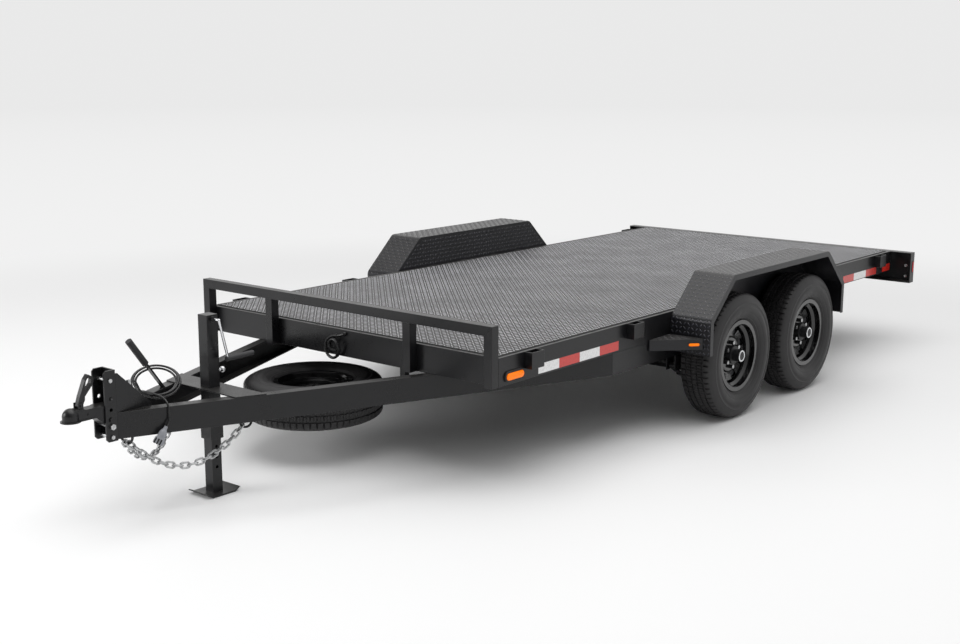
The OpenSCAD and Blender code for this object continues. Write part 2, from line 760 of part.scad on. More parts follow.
// Outline of the left step, inset by o: its outer face runs diagonally from the bed to the fender's corner
function step_plan(o) = let(y = y_axles - fender_half_l)
  [[half_w, y - step_l + 3 * o], [half_w + step_nose - o, y - step_l + 3 * o],
    [half_w + step_w - o, y - 8 + o],
  [half_w + step_w - o, y], [half_w, y]];
module step(right) {
  color("#303136") mirror([right ? 1 : 0, 0, 0]) difference() {
    plan_cut(step_plan(0), step_top - step_h, step_h);
    plan_cut(step_plan(step_t), step_top - step_h - 1, step_h - step_t + 1);
  }
}

// Lights

// A flat shape with half round ends, l long over all and w wide, lying along X
function stadium(l, w) = [for (s = [0, 180], a = [-90:15:90])
  [(s == 0 ? 1 : -1) * (l - w) / 2 + w / 2 * cos(a + s), w / 2 * sin(a + s)]];
module oval(l, w, h) {
  linear_extrude(h) polygon(stadium(l, w));
}

marker_y = y_front + 166;
marker_z = rail_z + 41;
// Amber ovals on the sides of the bed and on the steps' outer faces
module marker_lights() {
  lean = atan2(step_l - 8, step_w - step_nose);
  mid = [half_w + step_w - 34, y_axles - fender_half_l - 8 - 34 * tan(lean), step_top - step_h / 2];
  color("#ff9a10") each_side() {
    translate([half_w, marker_y, marker_z]) rotate([90, 0, 90]) oval(150, 54, 16);
    translate(mid) rotate([90, 0, lean]) oval(68, 24, 8);
  }
}

light_z = rail_top - bumper_h / 2;
module tail_lights() {
  color("#b01020") {
    each_side() translate([bumper_w / 2 - 120, y_rear, light_z]) rotate([90, 0, 180])
      oval(165, 60, light_t);
    for (i = [-1:1]) translate([150 * i, y_rear, light_z]) rotate([90, 0, 180]) oval(64, 22, 8);
  }
}

// Axles and springs

beam_z = tyre_r - axle_drop;
spindle_r = 20;
wheel_x = half_w + (overall_w / 2 - half_w) / 2;
spring_x = half_w - tongue_flange_w / 2;
backing_x = wheel_x + drum_back - 10;
arm_x = backing_x - 30;

// Dropped axle: a beam, an upright arm at each end, the brake's backing plate and the spindle
module axle(y) {
  color(frame_black) translate([0, y, 0]) {
    translate([-arm_x, 0, beam_z]) rotate([0, 90, 0]) cylinder(d = axle_d, h = 2 * arm_x);
    each_side() {
      translate([arm_x - 10, 0, beam_z]) rotate([0, 90, 0]) cylinder(d = axle_d - 10, h = 30);
      translate([arm_x - 10, -30, beam_z]) cube([30, 60, axle_drop]);
      translate([arm_x - 10, 0, tyre_r]) rotate([0, 90, 0]) cylinder(d = 60, h = 42);
      translate([backing_x, 0, tyre_r]) rotate([0, 90, 0]) cylinder(r = drum_r + 4, h = 5);
      translate([backing_x, 0, tyre_r]) rotate([0, 90, 0]) cylinder(r = spindle_r, h = 90);
    }
  }
}

leaf_t = 8;
leaf_w = 45;
spring_half = 320;
spring_rise = 106;
leaf_half = [spring_half, 250, 180, 110];
seat_t = 10;
leaf_z = beam_z - axle_d / 2 - seat_t;
eye_r = 16;
eye_bolt_r = 8;
eye_z = leaf_z + spring_rise - leaf_t + eye_r;
function leaf_curve(y) = leaf_z + spring_rise * pow(y / spring_half, 2);
// Underside of the pack, which steps down where each shorter leaf begins
function pack_under() = [for (k = [len(leaf_half) - 1:-1:0], i = [0:4])
  let(b = k == len(leaf_half) - 1 ? 0 : leaf_half[k + 1], y = b + (leaf_half[k] - b) * i / 4)
  [y, leaf_curve(y) - leaf_t * (k + 1)]];
function pack_half() = concat(pack_under(),
  [for (i = [16:-1:0]) [spring_half * i / 16, leaf_curve(spring_half * i / 16)]]);

module spring() {
  rotate([90, 0, 90]) translate([0, 0, -leaf_w / 2]) linear_extrude(leaf_w) {
    polygon(pack_half());
    polygon([for (p = pack_half()) [-p[0], p[1]]]);
  }
}

module leaf_springs() {
  color(frame_black) each_side() for (s = [-1, 1])
    translate([spring_x, y_axles + s * axle_pitch / 2, 0]) difference() {
      union() {
        spring();
        for (e = [-1, 1]) translate([-leaf_w / 2, e * spring_half, eye_z]) rotate([0, 90, 0])
          cylinder(r = eye_r, h = leaf_w);
        translate([-leaf_w / 2, -45, leaf_z - 0.5]) cube([leaf_w, 90, seat_t]);
      }
      for (e = [-1, 1]) translate([-leaf_w, e * spring_half, eye_z]) rotate([0, 90, 0])
        cylinder(r = eye_bolt_r + 0.3, h = 2 * leaf_w);
    }
}

// Tie plates under the springs, with U-bolts over the beams
module u_bolts() {
  plate_z = leaf_z - leaf_t * len(leaf_half) - 8;
  r = axle_d / 2 + 5.5;
  color(frame_black) each_side() for (s = [-1, 1]) translate([spring_x, y_axles + s * axle_pitch / 2, 0]) {
    translate([-40, -62, plate_z]) cube([80, 124, 8]);
    for (x = [-29, 29]) translate([x, 0, 0]) {
      translate([0, 0, beam_z]) rotate([90, 0, 90]) rotate_extrude(angle = 180) translate([r, 0])
        circle(r = 5, $fn = 24);
      for (e = [-1, 1]) translate([0, e * r, plate_z - 16])
        cylinder(r = 5, h = beam_z - plate_z + 16, $fn = 24);
    }
  }
}

hanger_t = 6;
// A pair of ears with a bolt between them, hanging from the lower rail
module hanger(z, l) {
  w = leaf_w + 4;
  for (s = [-1, 1]) translate([s * (w + hanger_t) / 2 - hanger_t / 2, -l / 2, z - 22])
    cube([hanger_t, l, tongue_z - z + 22]);
  translate([-w / 2 - hanger_t - 6, 0, z]) rotate([0, 90, 0])
    cylinder(r = eye_bolt_r, h = w + 2 * hanger_t + 12);
}

// Fixed hangers at the outer ends of the springs, and a rocker with two shackles between the axles
module spring_hangers() {
  out = axle_pitch / 2 + spring_half;
  inner = axle_pitch / 2 - spring_half;
  color(frame_black) each_side() translate([spring_x, y_axles, 0]) {
    for (e = [-1, 1]) translate([0, e * out, 0]) hanger(eye_z, 60);
    hanger(tongue_z - 34, 70);
    side_cut([[-inner + 30, tongue_z - 62], [0, tongue_z - 52], [inner - 30, tongue_z - 62],
      [inner - 30, tongue_z - 34],
      [0, tongue_z - 16], [-inner + 30, tongue_z - 34]], leaf_w);
    for (e = [-1, 1], x = [-1, 1]) translate([x * (leaf_w / 2 + 4), 0, 0])
      side_cut([[e * (inner - 54), tongue_z - 60], [e * (inner - 34), tongue_z - 36],
        [e * (inner + 12), eye_z + 10],
        [e * (inner + 12), eye_z - 14], [e * (inner - 8), eye_z - 14]], 5);
    for (e = [-1, 1]) translate([-leaf_w / 2 - 12, e * inner, eye_z]) rotate([0, 90, 0])
      cylinder(r = eye_bolt_r, h = leaf_w + 24);
  }
}

// Wheels

module wheel_place(right, rear) {
  mirror([right ? 1 : 0, 0, 0]) translate([wheel_x, y_axles + (rear ? 1 : -1) * axle_pitch / 2, tyre_r])
    rotate([0, 90, 0]) children();
}

// Wiring

cable_r = 5;
coil_at = [-110, y_ball + 528, 569];
coil_r = 101;
coil_w = 30;
coil_h = 20;
coil_tilt = 29;
coil_turn = 34;
// Route of the lead, from its clip on the left gusset to the coil
lead_route = [[42, 279, 638], [42, 289, 638], [36, 304, 634], [24, 322, 622], [8, 342, 600], [-8, 364, 574],
  [-22, 390, 550], [-34, 418, 532], [-42, 444, 520], [-45, 462, 515], [-42, 478, 514]];
// Route of the tail, from the coil over the left tongue channel to the plug
tail_route = [[-122, 434, 538], [-96, 433, 541], [-68, 432, 544], [-38, 431, 546], [-6, 429, 547],
  [28, 425, 547],
  [60, 420, 547], [90, 414, 544], [112, 410, 538], [127, 408, 529], [136, 406, 517], [140, 405, 502],
  [142, 404, 486], [146, 402, 462], [149, 393, 446], [146, 384, 430]];
// Route of the wiring loop on the front channel, as x, depth in front of it, z
loop_route = [[34, 0, 636], [34, 11, 636], [16, 16, 628], [-12, 18, 622], [-44, 18, 616], [-74, 18, 602],
  [-94, 18, 578],
  [-100, 18, 550], [-92, 18, 522], [-72, 18, 504], [-44, 18, 500], [-18, 20, 512], [0, 24, 534],
    [6, 30, 560],
  [-2, 33, 586], [-24, 33, 602], [-48, 33, 594], [-60, 32, 572], [-52, 28, 550], [-34, 22, 540],
    [-22, 12, 542], [-22, 0, 542]];

function unit(v) = v / norm(v);
function headings(p) = [for (i = [0:len(p) - 1]) unit(p[min(i + 1, len(p) - 1)] - p[max(i - 1, 0)])];
// A side direction at each point, carried along the route without twisting
function sides(t, n, i = 0) = i == len(t) ? [] :
  let(m = unit(n - (n * t[i]) * t[i])) concat([m], sides(t, m, i + 1));
module tube(p, r, n = 8) {
  t = headings(p);
  m = sides(t, [0.1, 0.2, 1]);
  last = len(p) - 1;
  polyhedron(
    points = [for (i = [0:last], k = [0:n - 1]) let(a = 360 * k / n)
      p[i] + r * (cos(a) * m[i] + sin(a) * cross(t[i], m[i]))],
    faces = concat([[for (k = [n - 1:-1:0]) k]], [[for (k = [0:n - 1]) last * n + k]],
      [for (i = [0:last - 1], k = [0:n - 1])
        [i * n + k, i * n + (k + 1) % n, (i + 1) * n + (k + 1) % n, (i + 1) * n + k]]));
}
function from_ball(p) = [for (q = p) q + [0, y_ball, 0]];

module cable_lead() {
  color(rubber_black) tube(from_ball(lead_route), cable_r);
}

module cable_coil() {
  color(rubber_black) translate(coil_at) rotate([0, coil_tilt, -coil_turn])
    rotate_extrude() translate([coil_r - coil_w / 2, -coil_h / 2]) square([coil_w, coil_h]);
}

module cable_tail() {
  color(rubber_black) tube(from_ball(tail_route), cable_r);
}

tail_end = len(tail_route) - 1;
plug_dir = unit(tail_route[tail_end] - tail_route[tail_end - 1]);
// The plug: a neck, a flat body, and slots in its face
module cable_plug() {
  top = tail_route[tail_end] + [0, y_ball, 0];
  color("#9a9ca2") translate(top) rotate([0, acos(plug_dir[2]), atan2(plug_dir[1], plug_dir[0])])
    difference() {
    union() {
      cylinder(r = 11, h = 26);
      translate([-15, -20, 22]) cube([30, 40, 62]);
    }
    for (k = [-1:1]) translate([-9, 12 * k - 3, 70]) cube([18, 6, 20]);
  }
}

clip_y = y_ball + 272;
clip_l = 14;
// Clip on the sloping edge of the left gusset
module cable_clip() {
  front = clip_y - clip_l / 2;
  rear = clip_y + clip_l / 2;
  top = gusset_edge(front) + 8;
  color("silver") translate([tongue_front_x - gusset_t / 2, 0, 0])
    side_cut([[front, gusset_edge(front)], [rear, gusset_edge(rear)], [rear, top], [front, top]], clip_l);
}

module wiring_loop() {
  color(rubber_black) tube([for (q = loop_route) [q[0], y_channel - q[1], q[2]]], 5.5);
}

deck_plate();
side_rail(false);  // side_rail_left
side_rail(true);  // side_rail_right
front_channel();
crossmembers();
rear_bumper();
front_rail_top();
front_rail_posts();
tongue(false);  // tongue_left
tongue(true);  // tongue_right
lower_rail(false);  // lower_rail_left
lower_rail(true);  // lower_rail_right
jack_plate();
tongue_gussets();
coupler_channel();
coupler();
coupler_latch();
coupler_bolts();
jack_tube();
jack_leg();
jack_crank();
cable_hanger();
chain_loops();
safety_chain(false);  // safety_chain_left
safety_chain(true);  // safety_chain_right
spare_tyre();
spare_rim();
spare_carrier();
stake_pockets(false);  // stake_pockets_left
stake_pockets(true);  // stake_pockets_right
fender(false);  // fender_left
fender(true);  // fender_right
step(false);  // step_left
step(true);  // step_right
marker_lights();
tail_lights();
axle(y_axles - axle_pitch / 2);  // axle_front
axle(y_axles + axle_pitch / 2);  // axle_rear
leaf_springs();
u_bolts();
spring_hangers();
wheel_place(false, false) tyre();  // tyre_front_left
wheel_place(true, false) tyre();  // tyre_front_right
wheel_place(false, true) tyre();  // tyre_rear_left
wheel_place(true, true) tyre();  // tyre_rear_right
wheel_place(false, false) rim();  // rim_front_left
wheel_place(true, false) rim();  // rim_front_right
wheel_place(false, true) rim();  // rim_rear_left
wheel_place(true, true) rim();  // rim_rear_right
wheel_place(false, false) hub();  // hub_front_left
wheel_place(true, false) hub();  // hub_front_right
wheel_place(false, true) hub();  // hub_rear_left
wheel_place(true, true) hub();  // hub_rear_right
cable_clip();
cable_lead();
cable_coil();
cable_tail();
cable_plug();
wiring_loop();
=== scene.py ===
"""Looks of a tandem axle car hauler trailer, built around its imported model."""

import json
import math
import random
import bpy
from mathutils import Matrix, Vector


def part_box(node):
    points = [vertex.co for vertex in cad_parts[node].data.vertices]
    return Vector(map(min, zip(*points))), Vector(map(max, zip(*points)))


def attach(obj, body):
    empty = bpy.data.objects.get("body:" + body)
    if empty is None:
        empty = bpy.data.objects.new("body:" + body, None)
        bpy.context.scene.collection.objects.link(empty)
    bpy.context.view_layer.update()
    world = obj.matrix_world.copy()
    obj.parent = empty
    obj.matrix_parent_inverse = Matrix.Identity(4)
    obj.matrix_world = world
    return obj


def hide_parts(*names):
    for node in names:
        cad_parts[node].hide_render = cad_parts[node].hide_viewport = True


bl_info = {
    "name": "Car hauler trailer looks",
    "version": (1, 0, 0),
    "blender": (4, 5, 0),
    "location": "3D View > Sidebar > Trailer",
    "description": "Paint, tread plate, tyres, lamps, cable and stage for a flat deck trailer",
    "category": "Object",
}

import bmesh
import bpy
from mathutils import Matrix, Vector

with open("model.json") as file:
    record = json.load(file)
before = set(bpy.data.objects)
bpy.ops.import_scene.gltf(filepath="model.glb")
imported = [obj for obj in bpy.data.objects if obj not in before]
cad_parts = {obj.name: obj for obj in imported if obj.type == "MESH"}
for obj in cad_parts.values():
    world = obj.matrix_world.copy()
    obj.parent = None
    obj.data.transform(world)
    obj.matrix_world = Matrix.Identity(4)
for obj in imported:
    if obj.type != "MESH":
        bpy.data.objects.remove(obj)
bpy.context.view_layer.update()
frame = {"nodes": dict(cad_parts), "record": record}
CAD = frame["nodes"]

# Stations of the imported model, read from its boxes, in metres
DECK_LOW, DECK_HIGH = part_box("deck_plate")
RAIL_LOW, RAIL_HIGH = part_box("side_rail_left")
TUBE_LOW, TUBE_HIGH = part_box("front_rail_top")
FENDER_LOW, FENDER_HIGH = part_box("fender_left")
BUMPER_LOW, BUMPER_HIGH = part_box("rear_bumper")
STEP_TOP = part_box("step_left")[1].z
HALF_W = RAIL_HIGH.x
MM = 0.001
SIDES = (1, -1)
WHEELS = ("front_left", "front_right", "rear_left", "rear_right")


# Sizes and colours that a user would change

def colour(name, description, default):
    return bpy.props.StringProperty(name=name, description=description, default=default)


def millimetres(name, description, default, low, high):
    return bpy.props.FloatProperty(name=name, description=description, default=default * MM, min=low * MM,
                                   max=high * MM, subtype="DISTANCE", unit="LENGTH")


class TrailerColours(bpy.types.PropertyGroup):
    """Colours of the trailer's finishes, as sRGB hex values"""
    enamel: colour("Frame enamel", "Black paint on the welded frame", "#0c0c0e")
    deck_enamel: colour("Deck enamel", "Black paint on the deck's tread plate", "#0d0d0e")
    # Pale grey of the deck's lugs: painted highlight, the sheen the lugs catch drawn as colour
    deck_lug_highlight: colour("Deck lug highlight", "Tops of the lugs, pale grey as painted highlight", "#b6b6ba")
    fender_enamel: colour("Fender enamel", "Blue black paint on the fenders", "#0c0c10")
    # Fenders' lugs: the fenders' blue black enamel made lighter, as painted highlight
    fender_lug_highlight: colour("Fender lug highlight", "Tops of the fenders' lugs", "#303138")
    rim_enamel: colour("Rim enamel", "Gloss black paint on the rims", "#0a0a0b")
    # Colour of the pale film on up-facing enamel: road dust, and painted top light where the amount is large
    dust: colour("Road dust", "Dust on the surfaces that face up", "#8d8a84")
    tread_rubber: colour("Tyre rubber", "Carbon black rubber of the tyres", "#131213")
    cable_rubber: colour("Cable rubber", "Jacket of the cables", "#161617")
    grip_rubber: colour("Grip rubber", "Dipped skin of the grips", "#2b2b2d")
    grommet: colour("Grommet rubber", "Rings around the lamps", "#171717")
    zinc: colour("Zinc", "Plating of chains and bolts", "#c9cacb")
    chrome: colour("Chrome", "Plating of the jack's crank", "#d6d7d9")
    iron: colour("Hub paint", "Paint on the hubs", "#161618")
    drum: colour("Drum iron", "Bare iron of the brake drums", "#45464a")
    drum_dust: colour("Drum dust", "Dust on the brake drums", "#2c2b2b")
    amber: colour("Amber lens", "Side lamps", "#ff7c00")
    red: colour("Red lens", "Tail lamps", "#c3121f")
    plug: colour("Plug shell", "Moulded shell of the plug", "#94969c")
    tape_white: colour("White tape", "White blocks of the reflective tape", "#f4f4f4")
    tape_red: colour("Red tape", "Red blocks of the reflective tape", "#d3261b")
    paper: colour("Floor", "Floor of the studio", "#f3f3f3")
    backdrop: colour("Backdrop", "Background of the studio", "#f1f1f1")


class TrailerSizes(bpy.types.PropertyGroup):
    """Sizes of the trailer's looks"""
    lug_pitch: millimetres("Lug pitch", "Distance between the raised lugs of the tread plate", 25.4, 20, 40)
    lug_length: millimetres("Lug length", "Length of one raised lug", 25, 15, 35)
    lug_width: millimetres("Lug width", "Width of one raised lug", 7.5, 4, 12)
    lug_height: millimetres("Lug height", "Height of one raised lug", 1.8, 0.5, 3)
    edge: millimetres("Edge radius", "Rounding of the painted steel's edges", 1.6, 0.2, 4)
    weld: millimetres("Weld width", "Width of a weld bead", 8, 4, 14)
    tread_depth: millimetres("Tread depth", "Depth of the tyres' grooves", 8, 2, 11)
    tape_height: millimetres("Tape height", "Height of the reflective tape", 49, 25, 60)
    cable: millimetres("Cable diameter", "Diameter of the plug's cable", 10, 6, 12)


def colours():
    return bpy.context.scene.trailer_colours


def sizes():
    return bpy.context.scene.trailer_sizes


# Materials

def linear(value):
    """An sRGB hex colour as linear RGBA."""
    parts = [int(value[i:i + 2], 16) / 255 for i in (1, 3, 5)]
    return tuple(c / 12.92 if c <= 0.04045 else ((c + 0.055) / 1.055) ** 2.4 for c in parts) + (1.0,)


def shade(tone, factor, lift=0.0):
    """A linear colour made lighter or darker."""
    return tuple(min(1.0, c * factor + lift) for c in tone[:3]) + (1.0,)


def per(mm):
    """Texture scale for a pattern whose features are that many millimetres apart."""
    return 1 / (mm * MM)


def node(tree, kind, inputs=(), output=0, into=None, **settings):
    """Adds a node, with its settings and with inputs, in order or by name, as values or as sockets to link from.
    Gives the output of that name or number, linked into a socket if one is given."""
    made = tree.nodes.new("ShaderNode" + kind)
    for key, value in settings.items():
        setattr(made, key, value)
    for key, value in inputs.items() if isinstance(inputs, dict) else enumerate(inputs):
        if isinstance(value, bpy.types.NodeSocket):
            tree.links.new(value, made.inputs[key])
        else:
            made.inputs[key].default_value = value
    if into:
        tree.links.new(made.outputs[output], into)
    return made.outputs[output] if made.outputs else None


def blend(tree, shader, value, low, high, first, second):
    """Colours the shader from first to second as the value goes from low to high."""
    share = node(tree, "MapRange", (value, low, high))
    node(tree, "Mix", {"Factor": share, 6: first, 7: second}, 2, shader.inputs["Base Color"], data_type="RGBA")


def finish(name, tones=None, spread=None, relief=None, more=None, **settings):
    """The material of that name, made once. tones is (cloud, low, high, colour, other colour), spread is (cloud, low,
    high, roughness, other roughness) and relief is (cloud, depth in mm, strength), where a cloud is a noise as (size
    in mm, detail, roughness). more(tree, shader, at, clouds) adds what else the finish needs."""
    made = bpy.data.materials.get(name)
    if made:
        return made
    made = bpy.data.materials.new(name)
    made.use_nodes = True
    tree = made.node_tree
    shader = tree.nodes["Principled BSDF"]
    for key, value in settings.items():
        shader.inputs[key.replace("_", " ").title().replace("Ior", "IOR")].default_value = value
    at = node(tree, "TexCoord", output="Object")
    clouds = {}
    for cloud in dict.fromkeys(part[0] for part in (tones, spread, relief) if part):
        mm, detail, rough = cloud
        clouds[cloud] = node(tree, "TexNoise", {"Vector": at, "Scale": per(mm), "Detail": detail,
                                                "Roughness": rough}, "Fac")
    if tones:
        blend(tree, shader, clouds[tones[0]], *tones[1:])
    if spread:
        cloud, low, high, smooth, rough = spread
        node(tree, "MapRange", (clouds[cloud], low, high, smooth, rough), into=shader.inputs["Roughness"])
    if relief:
        cloud, depth, strength = relief
        node(tree, "Bump", {"Height": clouds[cloud], "Distance": depth * MM, "Strength": strength},
             into=shader.inputs["Normal"])
    if more:
        more(tree, shader, at, clouds)
    return made


def enamel(name, hex_value, rough, dust, peel=4.0, wear=0.1, coat=0.05):
    """Satin enamel sprayed on welded steel. The eye sees soft broad highlights, the orange peel of the spray,
    and a pale film on what faces up: road dust, and painted top light where the amount is large."""
    broad, fine = (260, 5.0, 0.6), (9, 3.0, 0.6)
    base = linear(hex_value)

    # Lightens faces that point up: road dust, and painted top light where the amount is large
    def dust_and_top_light(tree, shader, at, clouds):
        tone, gloss = (shader.inputs[key].links[0].from_socket for key in ("Base Color", "Roughness"))
        z = node(tree, "SeparateXYZ", (node(tree, "NewGeometry", output="Normal"),), "Z")
        upward = node(tree, "MapRange", (z, 0.5, 0.95))
        film = node(tree, "MapRange", (clouds[broad], 0.25, 0.8, dust * 0.5, dust))
        dust_and_top_light_amount = node(tree, "Math", (upward, film), operation="MULTIPLY")
        node(tree, "Mix", {"Factor": dust_and_top_light_amount, 6: tone, 7: linear(colours().dust)}, 2, shader.inputs["Base Color"],
             data_type="RGBA")
        drift = node(tree, "MapRange", (clouds[broad], 0.3, 0.7, -0.04, 0.06))
        node(tree, "Math", (gloss, drift), into=shader.inputs["Roughness"], operation="ADD")
    return finish(name, (broad, 0.3, 0.75, base, shade(base, 1.7, 0.002)),
                  (fine, 0.3, 0.7, rough - wear / 2, rough + wear / 2), ((peel, 2.0, 0.5), 0.08, 0.5), dust_and_top_light,
                  specular_ior_level=0.36, coat_weight=coat, coat_roughness=0.16)


# Refraction of acrylic, and the spacing of the flutes in a lens in mm
ACRYLIC_IOR, FLUTE = 1.49, 4.0


def lens(name, hex_value, painted_glow):
    """Moulded acrylic lens. The eye sees saturated colour with fine flutes; a faint emission paints a glow, standing
    in for light the reflector throws back, though the lamp is not lit.
    """
    tint = linear(hex_value)

    def fluted(tree, shader, at, clouds):
        flutes = node(tree, "TexWave", {"Vector": at, "Scale": per(FLUTE * 2 * math.pi), "Distortion": 0.0}, "Fac",
                      wave_type="BANDS", bands_direction="Y")
        node(tree, "Bump", {"Height": flutes, "Distance": 0.35 * MM, "Strength": 0.6}, into=shader.inputs["Normal"])
        # The tint darkens where the lens turns away from the eye: painted shade
        blend(tree, shader, node(tree, "Fresnel", (ACRYLIC_IOR,)), 0.04, 0.4, tint, shade(tint, 0.55))
    # The emission is painted glow: the lamp itself is not lit
    return finish(name, more=fluted, roughness=0.2, ior=ACRYLIC_IOR, specular_ior_level=0.25,
                  emission_color=tint, emission_strength=painted_glow)


def reflective_tape(name, hex_value):
    """Retroreflective film under a clear skin. The eye sees flat bright colour broken by a fine hexagonal seal,
    drawn here at 6 mm, coarser than the real 3 mm, so that it shows."""
    base = linear(hex_value)

    def sealed(tree, shader, at, clouds):
        cells = node(tree, "TexVoronoi", {"Vector": at, "Scale": per(6.0), "Randomness": 0.15}, "Distance",
                     feature="DISTANCE_TO_EDGE")
        blend(tree, shader, cells, 0.02, 0.10, shade(base, 0.8), base)
    return finish(name, more=sealed, roughness=0.3, coat_weight=0.5, coat_roughness=0.12)


# The finishes, by the slot or the part that wears them, and what each gives the eye
FINISHES = {
    "frame_paint": lambda c: enamel("Satin enamel on welded steel", c.enamel, 0.32, 0.08),
    "deck_paint": lambda c: enamel("Worn enamel on tread plate", c.deck_enamel, 0.52, 0.11, 6.0, 0.1, 0.0),
    # The deck's lugs: the same black enamel as the plate, coloured pale grey as painted highlight
    "deck_lugs": lambda c: enamel("Enamel on lugs with painted highlight", c.deck_lug_highlight, 0.27, 0.08, 3.0, 0.16, 0.5),
    # Fender plate: its pale film on top is partly road dust and partly painted top light
    "fender_paint": lambda c: enamel("Blue black enamel on tread plate", c.fender_enamel, 0.40, 0.13, 5.0, 0.1, 0.2),
    # The fenders' lugs: lighter than the plate, with a heavy pale film on their tops, both painted highlight
    "fender_lugs": lambda c: enamel("Blue black enamel on lugs with painted highlight", c.fender_lug_highlight, 0.22, 0.62, 3.0, 0.12, 0.6),
    # Sharp reflections on black
    "rim_paint": lambda c: finish("Gloss enamel on pressed steel", None, ((30, 3.0, 0.5), 0.3, 0.7, 0.16, 0.26),
                                  ((6, 2.0, 0.5), 0.04, 0.4), base_color=linear(c.rim_enamel), coat_weight=0.6,
                                  coat_roughness=0.04),
    # The grain of the sand mould under the paint
    "hub_iron": lambda c: finish("Satin paint on cast iron", None, ((3, 4.0, 0.7), 0.3, 0.7, 0.38, 0.58),
                                 ((3, 4.0, 0.7), 0.25, 0.7), base_color=linear(c.iron)),
    # Grey that shows through the rims' windows, dulled by dust
    "drum": lambda c: finish("Dusty cast iron", ((4, 4.0, 0.7), 0.3, 0.7, linear(c.drum), linear(c.drum_dust)), None,
                             ((4, 4.0, 0.7), 0.2, 0.6), roughness=0.55),
    # A matte grey bloom with a faint brown cast, and fine mould lines
    "tyre_rubber": lambda c: finish("Moulded tyre rubber", ((70, 5.0, 0.6), 0.3, 0.75, linear(c.tread_rubber),
                                                            shade(linear(c.tread_rubber), 2.2, 0.006)),
                                    ((70, 5.0, 0.6), 0.3, 0.7, 0.46, 0.62), ((2.5, 3.0, 0.6), 0.12, 0.6)),
    # A soft sheen along the jacket and a faint ripple
    "cable_rubber": lambda c: finish("Extruded rubber jacket", None, ((14, 3.0, 0.5), 0.3, 0.7, 0.24, 0.38),
                                     ((2, 2.0, 0.5), 0.06, 0.5), base_color=linear(c.cable_rubber)),
    # A matte skin with a coarse grain
    "grip": lambda c: finish("Dipped rubber grip", None, ((1.8, 3.0, 0.7), 0.3, 0.7, 0.5, 0.68),
                             ((1.8, 3.0, 0.7), 0.2, 0.7), base_color=linear(c.grip_rubber)),
    # Bright grey with a milky cloud and soft highlights
    "zinc_plate": lambda c: finish("Zinc plated steel", ((12, 4.0, 0.6), 0.35, 0.7, linear(c.zinc),
                                                         shade(linear(c.zinc), 0.6)),
                                   ((12, 4.0, 0.6), 0.3, 0.7, 0.26, 0.42), ((1.5, 2.0, 0.5), 0.04, 0.4), metallic=1.0),
    # A sharp bright reflection with light scuffs
    "chrome_rod": lambda c: finish("Chrome plated rod", None, ((8, 4.0, 0.7), 0.4, 0.75, 0.08, 0.24),
                                   base_color=linear(c.chrome), metallic=1.0),
    # A dull black ring around each lamp
    "grommet": lambda c: finish("Moulded grommet rubber", None, None, ((2, 2.0, 0.5), 0.1, 0.5),
                                base_color=linear(c.grommet), roughness=0.6),
    # Grey glass filled nylon with a fine grain and a soft sheen
    "plug_shell": lambda c: finish("Moulded nylon", ((22, 3.0, 0.5), 0.3, 0.7, linear(c.plug),
                                                     shade(linear(c.plug), 0.8)), None,
                                   ((1.6, 3.0, 0.5), 0.1, 0.5), roughness=0.42),
    # The frame's enamel over ripples, a little glossier
    "weld": lambda c: finish("Enamel on weld bead", None, ((5, 3.0, 0.5), 0.3, 0.7, 0.24, 0.4),
                             ((3, 3.0, 0.5), 0.3, 0.6), base_color=linear(c.enamel)),
    # Amber and red lenses, each with the strength of its painted glow
    "amber_lens": lambda c: lens("Amber acrylic lens", c.amber, 0.3),
    "red_lens": lambda c: lens("Red acrylic lens", c.red, 0.06),
    "white_tape": lambda c: reflective_tape("White reflective film", c.tape_white),
    "red_tape": lambda c: reflective_tape("Red reflective film", c.tape_red),
}


def looks(*parts):
    """The finishes of those slots or parts."""
    return [FINISHES[part](colours()) for part in parts]


# Mesh makers

def placed(name, data):
    """An object in the scene with that data."""
    made = bpy.data.objects.new(name, data)
    bpy.context.scene.collection.objects.link(made)
    return made


class Shape:
    """Vertices and faces gathered from several closed parts, each with the number of its material."""

    def __init__(self):
        self.vertices, self.faces, self.uses = [], [], []

    def add(self, vertices, faces, use=0):
        start = len(self.vertices)
        self.vertices += [Vector(v) for v in vertices]
        self.faces += [tuple(start + i for i in f) for f in faces]
        self.uses += [use] * len(faces)


def piece(name, shape, materials, smooth=40.0, body="frame"):
    """Makes a shape into a piece that rides on a body, with outward normals, shaded smooth below that angle."""
    mesh = bpy.data.meshes.new(name)
    mesh.from_pydata([tuple(v) for v in shape.vertices], [], shape.faces)
    mesh.polygons.foreach_set("material_index", shape.uses)
    built = bmesh.new()
    built.from_mesh(mesh)
    bmesh.ops.recalc_face_normals(built, faces=built.faces)
    built.to_mesh(mesh)
    built.free()
    made = placed(name, mesh)
    for material in materials:
        mesh.materials.append(material)
    mesh.shade_smooth()
    if smooth < 180:
        mesh.set_sharp_from_angle(angle=math.radians(smooth))
    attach(made, body)
    return made


def skin(rows, sides, wrap=False):
    """Faces over rows of vertices, each row a closed ring. The end rows are capped, or joined if the rows wrap."""
    faces = [] if wrap else [tuple(reversed(range(sides))), tuple((rows - 1) * sides + k for k in range(sides))]
    for i in range(rows if wrap else rows - 1):
        here, there = i * sides, (i + 1) % rows * sides
        for k in range(sides):
            m = (k + 1) % sides
            faces.append((here + k, here + m, there + m, there + k))
    return faces


